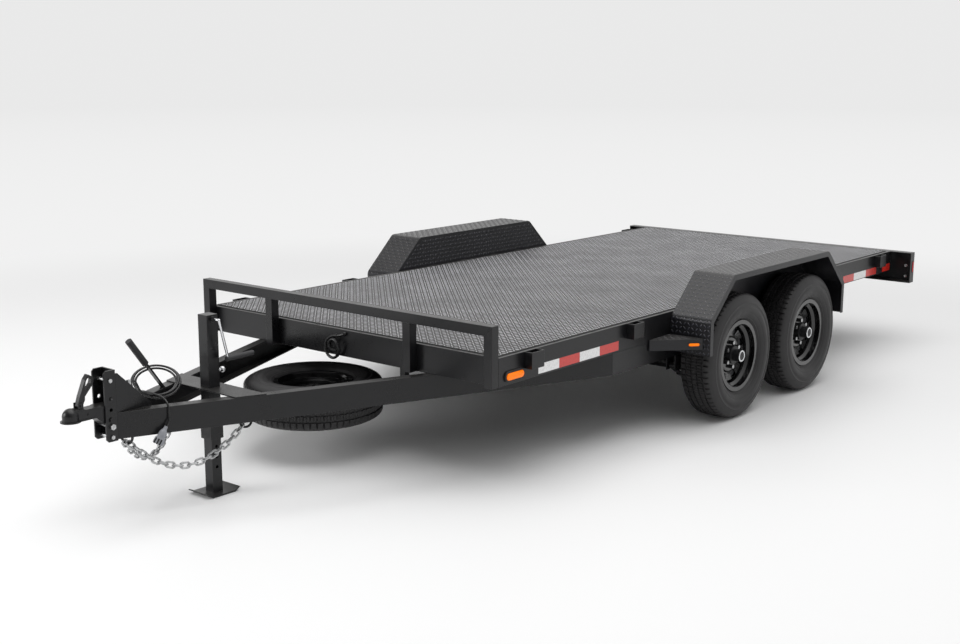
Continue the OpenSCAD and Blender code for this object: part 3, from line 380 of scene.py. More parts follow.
def tube(points, radii, sides=12, ring=None):
    """Vertices and faces of a closed tube along points, its section carried along without twisting. ring(k) scales
    the radius at each of its sides."""
    points = [Vector(p) for p in points]
    radii = list(radii) if hasattr(radii, "__len__") else [radii] * len(points)
    headings = [(points[min(i + 1, len(points) - 1)] - points[max(i - 1, 0)]).normalized()
                for i in range(len(points))]
    side = headings[0].orthogonal().normalized()
    vertices = []
    for p, t, r in zip(points, headings, radii):
        side = (side - side.dot(t) * t).normalized()
        up = t.cross(side)
        for k in range(sides):
            a = 2 * math.pi * k / sides
            scale = ring(k) if ring else 1.0
            vertices.append(p + (side * math.cos(a) + up * math.sin(a)) * r * scale)
    return vertices, skin(len(points), sides)


def block(low, high):
    """Vertices and faces of a box."""
    corners = [(x, y, z) for x in (low[0], high[0]) for y in (low[1], high[1]) for z in (low[2], high[2])]
    return corners, [(0, 1, 3, 2), (4, 6, 7, 5), (0, 4, 5, 1), (2, 3, 7, 6), (0, 2, 6, 4), (1, 5, 7, 3)]


def lathe(profile, steps):
    """Vertices and faces of a closed (radius, along) profile turned about X, along X."""
    angles = [2 * math.pi * k / steps for k in range(steps)]
    vertices = [(x, r * math.cos(a), r * math.sin(a)) for a in angles for r, x in profile]
    return vertices, skin(steps, len(profile), wrap=True)


def moved(made, matrix):
    """The vertices and faces of made, with the vertices transformed."""
    vertices, faces = made
    return [matrix @ Vector(v) for v in vertices], faces


def smooth_route(points, step):
    """Points at even steps on a smooth curve through the given ones."""
    points = [Vector(p) for p in points]
    ends = [points[0] * 2 - points[1]] + points + [points[-1] * 2 - points[-2]]
    fine, parts = [], 12
    for i in range(1, len(ends) - 2):
        a, b, c, d = ends[i - 1:i + 3]
        for k in range(parts):
            t = k / parts
            fine.append(0.5 * (2 * b + (c - a) * t + (2 * a - 5 * b + 4 * c - d) * t * t
                               + (3 * b - a - 3 * c + d) * t ** 3))
    fine.append(points[-1])
    lengths = [0.0]
    for a, b in zip(fine, fine[1:]):
        lengths.append(lengths[-1] + (b - a).length)
    count = max(2, round(lengths[-1] / step))
    even, j = [], 0
    for i in range(count + 1):
        want = lengths[-1] * i / count
        while j < len(fine) - 2 and lengths[j + 1] < want:
            j += 1
        span = lengths[j + 1] - lengths[j]
        even.append(fine[j].lerp(fine[j + 1], (want - lengths[j]) / span if span else 0.0))
    return even


# Camera and cord

# The photograph's viewpoint: lens and sensor in mm, place in metres, and turn, tilt and roll in radians
LENS, SENSOR = 50.057, 36.0
VIEWPOINT = (4.847, -6.1855, 2.055)
VIEW_TURN, VIEW_TILT, VIEW_ROLL = 0.6922, 0.1996, 0.0017


def place_camera():
    """The photograph's viewpoint."""
    data = bpy.data.cameras.new("Viewpoint")
    data.lens, data.sensor_width, data.sensor_fit = LENS, SENSOR, "HORIZONTAL"
    data.clip_start, data.clip_end = 0.05, 200.0
    made = placed("Viewpoint", data)
    turn = (Matrix.Rotation(VIEW_TURN, 4, "Z") @ Matrix.Rotation(math.pi / 2 - VIEW_TILT, 4, "X")
            @ Matrix.Rotation(VIEW_ROLL, 4, "Z"))
    made.matrix_world = Matrix.Translation(VIEWPOINT) @ turn
    bpy.context.scene.camera = made


# Routes of the cable, in mm across, behind the coupler's ball and up
Y_BALL = -3.071
LEAD = [(42, 279, 638), (42, 289, 638), (36, 304, 634), (24, 322, 622), (8, 342, 600), (-8, 364, 574),
        (-22, 390, 550), (-34, 418, 532), (-42, 444, 520), (-45, 462, 515)]
TAIL = [(-96, 433, 541), (-68, 432, 544), (-38, 431, 546), (-6, 429, 547), (28, 425, 547), (60, 420, 547),
        (90, 414, 544), (112, 410, 538), (127, 408, 529), (136, 406, 517), (140, 405, 502), (142, 404, 486),
        (146, 402, 462), (149, 393, 446), (146, 384, 430)]
COIL_AT = Vector((-110, 528, 569))
COIL_AXIS = Vector((0.402, -0.271, 0.875)).normalized()
COIL_START = Vector((0.725, -0.489, -0.485)).normalized()
COIL_TURNS = 2 + 5 / 6
# Place of the cable in the coil's ring, as distance from the axis and height, held for each turn
COIL_LAYERS = [(91.5, -4.5), (101.0, 4.5), (110.5, -4.5)]
# Share of each turn after which the cable moves over to its next place
COIL_SHIFT = 5 / 6
COIL_STEPS = 18
# Route of the wiring loop, in mm across, ahead of the front channel and up, and the places of its ties along it
LOOP = [(34, 0, 636), (34, 11, 636), (16, 16, 628), (-12, 18, 622), (-44, 18, 616), (-74, 18, 602), (-94, 18, 578),
        (-100, 18, 550), (-92, 18, 522), (-72, 18, 504), (-44, 18, 500), (-18, 20, 512), (0, 24, 534), (6, 30, 560),
        (-2, 33, 586), (-24, 33, 602), (-48, 33, 594), (-60, 32, 572), (-52, 28, 550), (-34, 22, 540),
        (-22, 12, 542), (-22, 0, 542)]
LOOP_TIES = (0.12, 0.36, 0.58, 0.83)
LOOP_RADIUS, TIE_RADIUS = 7.5 * MM, 9.5 * MM


def coil_points():
    """The coil's turns, from where the lead meets it to where the tail leaves it."""
    across = COIL_AXIS.cross(COIL_START)
    points = []
    for i in range(round(COIL_TURNS * COIL_STEPS) + 1):
        turn = i / COIL_STEPS
        layer, part = int(turn), max(0.0, (turn % 1 - COIL_SHIFT) / (1 - COIL_SHIFT))
        here, there = COIL_LAYERS[min(layer, 2)], COIL_LAYERS[min(layer + 1, 2)]
        part = part * part * (3 - 2 * part)
        r, h = (here[k] + (there[k] - here[k]) * part for k in (0, 1))
        angle = 2 * math.pi * turn
        spot = COIL_AT + (COIL_START * math.cos(angle) + across * math.sin(angle)) * r + COIL_AXIS * h
        points.append(tuple(spot))
    return points


# Profile of the plug along its axis, as (distance, radius) in mm, its sides, and the way its slots face
PLUG = [(-1, 7.5), (10, 8.5), (16, 10), (22, 14), (27, 17), (34, 18.5), (52, 18.5), (56, 20), (60, 22.5), (82, 24),
        (85, 22.5)]
PLUG_SIDES = 32
PLUG_FACING = Vector((0.6, -0.8, 0))
# The slots' reach along the axis and out from it, their pitch and half their width, in mm
SLOT_ALONG, SLOT_OUT, SLOT_PITCH, SLOT_HALF = (60, 86), (12, 25.5), 13, 3


def plug_body(top, way):
    """The seven pole plug: a neck, a rounded body and a flared end with slots, hanging from the cable's end."""
    def squared(k):
        a = 2 * math.pi * k / PLUG_SIDES
        return 1 / (abs(math.cos(a)) ** 5 + abs(math.sin(a)) ** 5) ** 0.2
    way = way.normalized()
    shape = Shape()
    shape.add(*tube([top + way * d * MM for d, r in PLUG], [r * MM for d, r in PLUG], PLUG_SIDES, squared))
    out = (PLUG_FACING - way * way.dot(PLUG_FACING)).normalized()
    place = Matrix.Translation(top) @ Matrix((way.cross(out), out, way)).transposed().to_4x4()
    for s in SIDES:
        low, high = sorted(s * d for d in SLOT_OUT)
        for k in (-1, 0, 1):
            slot = block(Vector((k * SLOT_PITCH - SLOT_HALF, low, SLOT_ALONG[0])) * MM,
                         Vector((k * SLOT_PITCH + SLOT_HALF, high, SLOT_ALONG[1])) * MM)
            shape.add(*moved(slot, place), 1)
    made = piece("plug_body", shape, looks("plug_shell", "grommet"), 35)
    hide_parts("cable_plug")
    return made


class TRAILER_OT_cable(bpy.types.Operator):
    """Lays the plug's cable: its lead, its coil and its tail, on one smooth curve"""
    bl_idname = "trailer.cable"
    bl_label = "Cable"

    def execute(self, context):
        route = [Vector((x * MM, Y_BALL + y * MM, z * MM)) for x, y, z in LEAD + coil_points()[1:] + TAIL]
        even = smooth_route(route, 0.006)
        data = bpy.data.curves.new("plug_cable", "CURVE")
        data.dimensions = "3D"
        data.bevel_depth = sizes().cable / 2
        data.bevel_resolution = 4
        data.use_fill_caps = True
        spline = data.splines.new("POLY")
        spline.points.add(len(even) - 1)
        for spot, at in zip(spline.points, even):
            spot.co = (*at, 1.0)
        spline.use_smooth = True
        data.materials.append(*looks("cable_rubber"))
        cable = placed("plug_cable", data)
        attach(cable, "frame")
        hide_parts("cable_lead", "cable_coil", "cable_tail")
        plug_body(even[-1], even[-1] - even[-4])
        return {"FINISHED"}


class TRAILER_OT_wiring(bpy.types.Operator):
    """Lays the short wiring loop on the front channel, with its ties"""
    bl_idname = "trailer.wiring"
    bl_label = "Wiring loop"

    def execute(self, context):
        route = smooth_route([(x * MM, TUBE_HIGH.y - d * MM, z * MM) for x, d, z in LOOP], 0.005)
        shape = Shape()
        shape.add(*tube(route, LOOP_RADIUS, 14))
        for share in LOOP_TIES:
            i = round(share * len(route))
            shape.add(*tube(route[i - 1:i + 2], TIE_RADIUS))
        made = piece("wiring_harness", shape, looks("cable_rubber"), 60)
        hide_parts("wiring_loop")
        return {"FINISHED"}


# Painted steel

# Nodes whose edges stay as they are: thin round wire, or pieces that are replaced
UNROUNDED = ("safety_chain", "tyre_", "spare_tyre", "cable_", "wiring_loop", "chain_loops", "marker_lights",
             "tail_lights", "u_bolts")
# Share of the edge radius on the pieces of wheels and on turned rod
EDGE_SCALE = {"rim": 1.5, "hub": 0.5, "jack": 0.8}
# Rubber grips: where along Y the grip starts, and whether it is behind that
GRIPS = {"jack_crank": (-2.29, True), "cable_hanger": (-2.565, False)}
# The bolt that is painted with the frame, as its height and its reach
BLACK_BOLT_Z, BLACK_BOLT_REACH = 0.486, 14 * MM
# Faces of a hub: the wheel nuts, by depth below the cap's end and distance from the axle, and the drum
NUT_DEPTH, NUT_SLACK, NUT_BAND, DRUM_INNER = 51 * MM, 1.5 * MM, (58 * MM, 82 * MM), 90 * MM


def repaint(made, part, chosen):
    """Gives the faces whose centres are chosen another finish."""
    made.data.materials.append(*looks(part))
    for face in made.data.polygons:
        if chosen(face.center):
            face.material_index = len(made.data.materials) - 1


def repaint_hub(made, low, high):
    """Gives the nuts their zinc and the drum its bare iron."""
    axle, end = (low + high) / 2, max(abs(low.x), abs(high.x))

    def away(at):
        return math.hypot(at.y - axle.y, at.z - axle.z)

    repaint(made, "zinc_plate", lambda at: abs(end - abs(at.x) - NUT_DEPTH) < NUT_SLACK
            and NUT_BAND[0] < away(at) < NUT_BAND[1])
    repaint(made, "drum", lambda at: away(at) > DRUM_INNER)


class TRAILER_OT_finishes(bpy.types.Operator):
    """Gives every piece of the frame its finish, and rounds the edges of the steel"""
    bl_idname = "trailer.finishes"
    bl_label = "Finishes"

    def execute(self, context):
        slots = {s["node"]: s["material_slot"] for s in frame["record"]["subparts"]}
        for name, made in CAD.items():
            made.data.materials.clear()
            made.data.materials.append(*looks(slots[name]))
            made.data.shade_smooth()
            if name in GRIPS:
                start, behind = GRIPS[name]
                repaint(made, "grip", lambda at: (at.y > start) == behind)
            if name.startswith("hub_"):
                repaint_hub(made, *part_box(name))
            if name == "coupler_bolts":
                repaint(made, "frame_paint", lambda at: abs(at.z - BLACK_BOLT_Z) < BLACK_BOLT_REACH)
            if name.startswith(UNROUNDED):
                made.data.set_sharp_from_angle(angle=math.radians(40))
                continue
            weld = made.modifiers.new("Join", "WELD")
            weld.merge_threshold = 0.02 * MM
            flat = made.modifiers.new("Flat faces", "DECIMATE")
            flat.decimate_type, flat.angle_limit = "DISSOLVE", math.radians(0.6)
            edge = made.modifiers.new("Rounded edges", "BEVEL")
            edge.width = sizes().edge * EDGE_SCALE.get(name.split("_")[0], 1.0)
            edge.segments, edge.limit_method, edge.angle_limit = 2, "ANGLE", math.radians(35)
            edge.use_clamp_overlap, edge.harden_normals = True, False
            even = made.modifiers.new("Even shading", "WEIGHTED_NORMAL")
            even.keep_sharp = True
        return {"FINISHED"}


# Tread plate

# A lug's shoulder and the end of its ridge as shares of its half length, and the depth it is sunk in the plate
LUG_SHOULDER, LUG_RIDGE, LUG_SINK = 0.45, 0.5, 0.3 * MM
# Clear edge of a plate, as a share of a lug's length
LUG_MARGIN = 0.42
# Clear border of the deck, and of the fenders' inner faces and the steps
DECK_BORDER, SKIRT_FOOT, SKIRT_END, SLANT_BORDER = 4 * MM, 6 * MM, 14 * MM, 16 * MM
# The fender's outline: half its length at the foot and at the top, the height of its knee, and its bend radius
FENDER_HALF = (FENDER_HIGH.y - FENDER_LOW.y) / 2
FENDER_HALF_TOP, FENDER_KNEE, FENDER_BEND = 0.590, 0.628, 0.042
STEP_LENGTH, STEP_WIDTH, STEP_NOSE = 0.225, 0.212, 0.010


def lug(across, along, turn):
    """Corners, as distances along the plate and above it, and faces of one raised lug: a pointed oval with a
    ridge."""
    s = sizes()
    l, w, h = s.lug_length / 2, s.lug_width / 2, s.lug_height
    flat = [(l, 0), (l * LUG_SHOULDER, w), (-l * LUG_SHOULDER, w), (-l, 0), (-l * LUG_SHOULDER, -w),
            (l * LUG_SHOULDER, -w), (l * LUG_RIDGE, 0), (-l * LUG_RIDGE, 0)]
    c, d = math.cos(turn), math.sin(turn)
    return ([(along + x * c - y * d, across + x * d + y * c, -LUG_SINK if i < 6 else h)
             for i, (x, y) in enumerate(flat)],
            [(5, 4, 3, 2, 1, 0), (0, 1, 6), (1, 2, 7, 6), (2, 3, 7), (3, 4, 7), (4, 5, 6, 7), (5, 0, 6)])


def tread(shape, place, length, width, keep=None):
    """Covers a plate with lugs that lie crosswise by turns. place(a, b, h) is the point at a along it, b across
    it and h above it, and keep(a, b) is false where a lug would run off it."""
    s = sizes()
    margin = s.lug_length * LUG_MARGIN
    for i in range(int(length / s.lug_pitch) + 1):
        for j in range(int(width / s.lug_pitch) + 1):
            a, b = (i + 0.5) * s.lug_pitch, (j + 0.5) * s.lug_pitch
            if not (margin < a < length - margin and margin < b < width - margin) or keep and not keep(a, b):
                continue
            corners, faces = lug(b, a, math.pi / 4 if (i + j) % 2 else -math.pi / 4)
            shape.add([place(*c) for c in corners], faces)


def fender_path():
    """The fender's outer outline from its front foot to its rear foot, as (length so far, y, z, normal y, z)."""
    middle, steps = (FENDER_LOW.y + FENDER_HIGH.y) / 2, 6
    corners = [Vector((middle + y, z)) for y, z in (
        (-FENDER_HALF, FENDER_LOW.z), (-FENDER_HALF, FENDER_KNEE), (-FENDER_HALF_TOP, FENDER_HIGH.z),
        (FENDER_HALF_TOP, FENDER_HIGH.z), (FENDER_HALF, FENDER_KNEE), (FENDER_HALF, FENDER_LOW.z))]
    points = [corners[0]]
    for a, b, c in zip(corners, corners[1:], corners[2:]):
        u, v = (a - b).normalized(), (c - b).normalized()
        half = u.angle(v) / 2
        sweep, setback = math.pi - 2 * half, FENDER_BEND / math.tan(half)
        centre = b + (u + v).normalized() * FENDER_BEND / math.sin(half)
        first, last = b + u * setback - centre, b + v * setback - centre
        for k in range(steps + 1):
            points.append(centre + (first * math.sin((1 - k / steps) * sweep)
                                    + last * math.sin(k / steps * sweep)) / math.sin(sweep))
    points.append(corners[-1])
    path, run = [], 0.0
    for i, at in enumerate(points):
        run += (at - points[i - 1]).length if i else 0.0
        way = (points[min(i + 1, len(points) - 1)] - points[max(i - 1, 0)]).normalized()
        path.append((run, at.x, at.y, -way.y, way.x))
    return path


def along_path(path, run):
    """y, z and the normal's y, z at that length along the path."""
    for low, high in zip(path, path[1:]):
        if run <= high[0] or high is path[-1]:
            t = (run - low[0]) / (high[0] - low[0])
            return [a + (b - a) * t for a, b in zip(low[1:], high[1:])]


class TRAILER_OT_deck_tread(bpy.types.Operator):
    """Raises the tread pattern of the deck"""
    bl_idname = "trailer.deck_tread"
    bl_label = "Deck tread"

    def execute(self, context):
        shape = Shape()
        right, front = DECK_HIGH.x - DECK_BORDER, DECK_LOW.y + DECK_BORDER
        tread(shape, lambda a, b, h: Vector((right - b, front + a, DECK_HIGH.z + h)),
              DECK_HIGH.y - DECK_LOW.y - 2 * DECK_BORDER, DECK_HIGH.x - DECK_LOW.x - 2 * DECK_BORDER)
        piece("deck_lugs", shape, looks("deck_lugs"), 180)
        return {"FINISHED"}


class TRAILER_OT_fender_tread(bpy.types.Operator):
    """Raises the tread pattern of the fenders and the steps"""
    bl_idname = "trailer.fender_tread"
    bl_label = "Fender tread"

    def execute(self, context):
        path, width = fender_path(), FENDER_HIGH.x - HALF_W
        foot = RAIL_HIGH.z + SKIRT_FOOT
        slope = (FENDER_HIGH.z - FENDER_KNEE) / (FENDER_HALF - FENDER_HALF_TOP)
        for side, s in zip(("left", "right"), SIDES):
            def outside(a, b, h):
                y, z, ny, nz = along_path(path, a)
                return Vector((s * (FENDER_HIGH.x - b), y + ny * h, z + nz * h))

            def inner(a, b, h):
                return Vector((s * (HALF_W - h), FENDER_LOW.y + a, foot + b))

            def on_skirt(a, b):
                near = min(a, 2 * FENDER_HALF - a) - SKIRT_END
                return near > 0 and foot + b + SLANT_BORDER < min(FENDER_HIGH.z, FENDER_KNEE + slope * near)

            def on_step(a, b, h):
                return Vector((s * (HALF_W + b), FENDER_LOW.y - STEP_LENGTH + a, STEP_TOP + h))

            def in_step(a, b):
                return b < STEP_NOSE + (STEP_WIDTH - STEP_NOSE) * a / STEP_LENGTH - SLANT_BORDER

            shape = Shape()
            tread(shape, outside, path[-1][0], width)
            tread(shape, inner, 2 * FENDER_HALF, FENDER_HIGH.z - foot, on_skirt)
            tread(shape, on_step, STEP_LENGTH, STEP_WIDTH, in_step)
            piece("fender_lugs_" + side, shape, looks("fender_lugs"), 180)
        return {"FINISHED"}


# Wheels

# Half section of the sidewall from the bead to the shoulder, as radius and distance from the middle in mm
TYRE_WALL = [(192, 63.5), (190, 73.5), (196, 75.5), (206, 75.5), (212, 81.5), (220, 91), (224, 91), (227, 94),
             (246, 105.5), (250, 105.5), (253, 107.8), (274, 110), (286, 109.8), (289, 108), (303, 106.8),
             (307, 108.5), (311, 106.8), (328, 102), (336, 98), (346, 92)]
# Half section of the tread to its middle, as radius, distance, 1 on a groove's floor and 1 where it waves
TYRE_TREAD = [(352, 86.5, 0, 0), (357, 79.5, 0, 0), (359.2, 73, 0, 0), (360, 60, 0, 0), (360.2, 57, 0, 0),
              (360.2, 55, 1, 1), (360.6, 47.5, 1, 1), (360.6, 45.5, 0, 1), (361.4, 30, 0, 1), (361.6, 22.5, 0, 1),
              (361.6, 20.5, 1, 1), (361.8, 14.5, 1, 1), (361.8, 12.5, 0, 1), (362, 0, 0, 1)]
# Steps around the tyre, of which every six make one block of the tread
TYRE_STEPS, TYRE_BLOCK = 396, 6
# Reach of the waves sideways, and depth of the shoulder's notches, the ribs' notches and the sipes
WAVE, SHOULDER_NOTCH, RIB_NOTCH, SIPE = 1.6 * MM, 7 * MM, 5 * MM, 4 * MM
# Where the shoulder and the ribs start, from the middle, and how far below the crown the ribs' faces reach
SHOULDER_IN, RIB_OUT, MIDDLE, FACE_DROP = 56 * MM, 50 * MM, 1 * MM, 3 * MM
# Closed section of the ring on a grease cap, as radius and distance out in mm
CAP_RING = [(24, 0), (24, 1.6), (26, 3), (31, 3), (33.5, 1), (33.5, -4), (33, -4), (33, 0)]


def tyre():
    """Vertices and faces of a highway trailer tyre: grooved and siped tread, and ringed sidewalls."""
    half = [(r * MM, x * MM, 0) for r, x in TYRE_WALL]
    half += [(r * MM - sizes().tread_depth * groove, x * MM, wavy) for r, x, groove, wavy in TYRE_TREAD]
    profile = half + [(r, -x, wavy) for r, x, wavy in reversed(half[:-1])]
    crown = half[-1][0]
    vertices = []
    for k in range(TYRE_STEPS):
        angle = 2 * math.pi * k / TYRE_STEPS
        wave = WAVE * (1 if (k // 3) % 2 else -1)
        notch, sipe = k % TYRE_BLOCK == 0, k % TYRE_BLOCK == 3
        for r, x, wavy in profile:
            if wavy and abs(x) > MIDDLE:
                x += wave
            if notch and abs(x) > SHOULDER_IN and r > crown - SHOULDER_NOTCH:
                r -= SHOULDER_NOTCH
            elif sipe and wavy and r > crown - FACE_DROP:
                r -= SIPE
            if notch and wavy and r > crown - FACE_DROP and MIDDLE < abs(x) < RIB_OUT:
                r -= RIB_NOTCH
            vertices.append((x, r * math.cos(angle), r * math.sin(angle)))
    return vertices, skin(TYRE_STEPS, len(profile), wrap=True)


class TRAILER_OT_hub_rings(bpy.types.Operator):
    """Presses a bright ring on the end of each grease cap"""
    bl_idname = "trailer.hub_rings"
    bl_label = "Cap rings"

    def execute(self, context):
        for place in WHEELS:
            low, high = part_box("hub_" + place)
            middle, way = (low + high) / 2, 1 if high.x > 0 else -1
            at = Vector((high.x if way > 0 else low.x, middle.y, middle.z))
            shape = Shape()
            shape.add(*moved(lathe([(r * MM, way * x * MM) for r, x in CAP_RING], 64), Matrix.Translation(at)))
            piece("cap_ring_" + place, shape, looks("chrome_rod"), 30, "wheel_" + place)
        return {"FINISHED"}


class TRAILER_OT_tyres(bpy.types.Operator):
    """Builds the tyres with their tread and sidewalls"""
    bl_idname = "trailer.tyres"
    bl_label = "Tyres"

    def execute(self, context):
        pattern = tyre()
        for place in WHEELS + ("spare",):
            spare = place == "spare"
            cad_name = "spare_tyre" if spare else "tyre_" + place
            low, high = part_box(cad_name)
            turn = Matrix.Rotation(math.pi / 2, 4, "Y") if spare else Matrix.Identity(4)
            shape = Shape()
            shape.add(*moved(pattern, Matrix.Translation((low + high) / 2) @ turn))
            made = piece(cad_name + "_rubber", shape, looks("tyre_rubber"), 32,
                         "frame" if spare else "wheel_" + place)
            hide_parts(cad_name)
        return {"FINISHED"}


# Lamps and tape

# Lamps as length, width and height in metres
SIDE_LAMP, STEP_LAMP = (0.150, 0.054, 0.016), (0.068, 0.024, 0.008)
TAIL_LAMP, CENTRE_LAMP, END_LAMP = (0.165, 0.060, 0.010), (0.064, 0.022, 0.008), (0.086, 0.030, 0.004)
# Distance of a step's lamp from its outer edge and below its top, and of the skin that the lamp sits on
STEP_LAMP_IN, STEP_LAMP_DOWN, STEP_SKIN = 0.034, 0.030, 0.008
# Distance of the tail lamps from the bumper's ends, and spacing of the middle three
TAIL_IN, CENTRE_PITCH = 0.120, 0.150
GROMMET = 0.012
BUMPER_WALL = 8 * MM
# Closed section of a bolt's head, as radius and distance out in mm, and the bolts' places across and up
BOLT_HEAD = [(0.1, 1), (8, 1.2), (10.5, 2.6), (10.5, 1), (10, -2), (0.1, -2)]
BOLT_X, BOLT_Z = 1.140, (0.552, 0.476)
# Profile of the jack's pull pin, as distance and radius in mm, and its height
PULL_PIN = [(0, 6), (24, 6), (25, 11), (30, 14), (38, 14), (43, 10), (45, 3)]
PULL_PIN_Z = 0.590
# Width of a dark strip beside the deck plate, painted shadow of the gap there, and its reach below and above the side
# channels' tops
GAP_SHADOW, GAP_SHADOW_DOWN, GAP_SHADOW_UP = 5 * MM, 0.2 * MM, 0.8 * MM
# Stations of the tape's blocks along Y, and the heights of their lower edges
TAPE_FRONT = (-1.151, -0.980, -0.806, -0.629, -0.456)
TAPE_REAR = ((2.262, 2.432, "red"), (2.432, 2.629, "white"), (2.629, 2.805, "red"), (2.905, 3.035, "red"))
TAPE_FRONT_Z, TAPE_REAR_Z = 0.522, 0.518
TAPE_THICK, TAPE_SUNK, TAPE_GAP = 0.4 * MM, 0.1 * MM, 0.5 * MM


def stadium(length, width, steps=12):
    """Outline of a flat shape with half round ends, as (along, up)."""
    points = []
    for side in SIDES:
        for i in range(steps + 1):
            a = math.pi * (i / steps - 0.5) + (0 if side > 0 else math.pi)
            points.append((side * (length - width) / 2 + width / 2 * math.cos(a), width / 2 * math.sin(a)))
    return points


def domed(length, width, layers):
    """A closed solid whose outline shrinks through layers of (inset, height)."""
    rings = [[(x, y, z) for x, y in stadium(length - 2 * o, width - 2 * o)] for o, z in layers]
    return [v for ring in rings for v in ring], skin(len(rings), len(rings[0]))


def lamp(shape, place, size):
    """An oval lamp in its grommet. place turns (along, up, out) into the row frame."""
    length, width, height = size
    g = min(GROMMET, width * 0.18)
    ring = domed(length, width, [(0, 0), (0, height * 0.42), (g * 0.3, height * 0.58), (g, height * 0.58)])
    glass = domed(length - 2 * g, width - 2 * g, [(0, height * 0.3), (0, height * 0.72), (0.002, height * 0.86),
                                                  (0.006, height * 0.96), (width * 0.22, height)])
    shape.add(*moved(ring, place))
    shape.add(*moved(glass, place), 1)


def facing(at, along, out):
    """Matrix that puts (along, up, out) at a place."""
    along, out = Vector(along).normalized(), Vector(out).normalized()
    turn = Matrix((along, out.cross(along), out)).transposed().to_4x4()
    return Matrix.Translation(at) @ turn


class TRAILER_OT_lamps(bpy.types.Operator):
    """Fits the amber side lamps and the red tail lamps in their grommets"""
    bl_idname = "trailer.lamps"
    bl_label = "Lamps"

    def execute(self, context):
        amber, red = Shape(), Shape()
        marker_y, marker_z = TUBE_LOW.y + 0.166, RAIL_LOW.z + 0.041
        lean = math.atan2(STEP_LENGTH - STEP_SKIN, STEP_WIDTH - STEP_NOSE)
        mid = Vector((HALF_W + STEP_WIDTH - STEP_LAMP_IN, FENDER_LOW.y - STEP_SKIN - STEP_LAMP_IN * math.tan(lean),
                      STEP_TOP - STEP_LAMP_DOWN))
        for s in SIDES:
            lamp(amber, facing((s * HALF_W, marker_y, marker_z), (0, s, 0), (s, 0, 0)), SIDE_LAMP)
            lamp(amber, facing((s * mid.x, mid.y, mid.z), (s * math.cos(lean), math.sin(lean), 0),
                               (s * math.sin(lean), -math.cos(lean), 0)), STEP_LAMP)
        rear = [(s * (BUMPER_HIGH.x - TAIL_IN), TAIL_LAMP) for s in SIDES]
        rear += [(CENTRE_PITCH * i, CENTRE_LAMP) for i in (-1, 0, 1)]
        for x, size in rear:
            lamp(red, facing((x, BUMPER_HIGH.y, (BUMPER_LOW.z + BUMPER_HIGH.z) / 2), (-1, 0, 0), (0, 1, 0)), size)
        for name, shape, replaced, slot in (
                ("side_lamps", amber, "marker_lights", "amber_lens"),
                ("rear_lamps", red, "tail_lights", "red_lens")):
            made = piece(name, shape, looks("grommet", slot), 35)
            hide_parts(replaced)
        return {"FINISHED"}


class TRAILER_OT_fittings(bpy.types.Operator):
    """Adds the bumper's bolts and end lamps, the jack's pull pin and a dark strip along the deck plate, painted shadow
    of the gap there
    """
    bl_idname = "trailer.fittings"
    bl_label = "Small fittings"

    def execute(self, context):
        bolts, ends, pin, gap_shadow = Shape(), Shape(), Shape(), Shape()
        head = lathe([(r * MM, x * MM) for r, x in BOLT_HEAD], 20)
        for s in SIDES:
            for z in BOLT_Z:
                place = Matrix.Translation((s * BOLT_X, BUMPER_HIGH.y - BUMPER_WALL, z))
                bolts.add(*moved(head, place @ Matrix.Rotation(-math.pi / 2, 4, "Z")))
            lamp(ends, facing((s * BUMPER_HIGH.x, BUMPER_HIGH.y - 24 * MM, 0.550), (0, 0, 1), (s, 0, 0)), END_LAMP)
        # Dark strips along the deck plate's sides and front end: painted shadow of the gap between the plate and the
        # channels
        for x0, x1, y1 in ((DECK_HIGH.x, DECK_HIGH.x + GAP_SHADOW, DECK_HIGH.y),
                           (-DECK_HIGH.x - GAP_SHADOW, -DECK_HIGH.x, DECK_HIGH.y), (DECK_LOW.x, DECK_HIGH.x, DECK_LOW.y)):
            gap_shadow.add(*block((x0, DECK_LOW.y - GAP_SHADOW, RAIL_HIGH.z - GAP_SHADOW_DOWN), (x1, y1, RAIL_HIGH.z + GAP_SHADOW_UP)))
        low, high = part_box("jack_tube")
        at = Vector((12 * MM, (low.y + high.y) / 2 + 32 * MM, PULL_PIN_Z))
        pin.add(*tube([at + Vector((0, y * MM, 0)) for y, r in PULL_PIN], [r * MM for y, r in PULL_PIN], 20))
        piece("bumper_bolts", bolts, looks("zinc_plate"), 35)
        piece("end_lamps", ends, looks("grommet", "red_lens"), 35)
        piece("jack_pull_pin", pin, looks("chrome_rod"), 40)
        # The gap's painted shadow, in the grommets' dull black rubber
        piece("deck_gap_shadow", gap_shadow, looks("grommet"), 30)
        return {"FINISHED"}


class TRAILER_OT_tape(bpy.types.Operator):
    """Sticks the white and red reflective tape on the side channels"""
    bl_idname = "trailer.tape"
    bl_label = "Reflective tape"

    def execute(self, context):
        blocks = [(a, b, ("white", "red")[i % 2], TAPE_FRONT_Z)
                  for i, (a, b) in enumerate(zip(TAPE_FRONT, TAPE_FRONT[1:]))]
        blocks += [(a, b, tone, TAPE_REAR_Z) for a, b, tone in TAPE_REAR]
        shape = Shape()
        for s in SIDES:
            x0, x1 = sorted((s * (HALF_W - TAPE_SUNK), s * (HALF_W + TAPE_THICK)))
            for y0, y1, tone, z in blocks:
                shape.add(*block((x0, y0 + TAPE_GAP, z), (x1, y1 - TAPE_GAP, z + sizes().tape_height)),
                          0 if tone == "white" else 1)
        piece("reflective_tape", shape, looks("white_tape", "red_tape"), 30)
        return {"FINISHED"}


# Welds

RIPPLE = 3 * MM
# Length and pitch of the stitches along the deck plate, and their height above the side channels
STITCH, STITCH_PITCH, STITCH_UP = 0.045, 0.32, 2 * MM
MITRE = 0.060
# Starts and length of the beads between fender and side channel, from the fender's middle
FENDER_BEADS, FENDER_BEAD = (-0.50, -0.18, 0.14, 0.42), 0.06


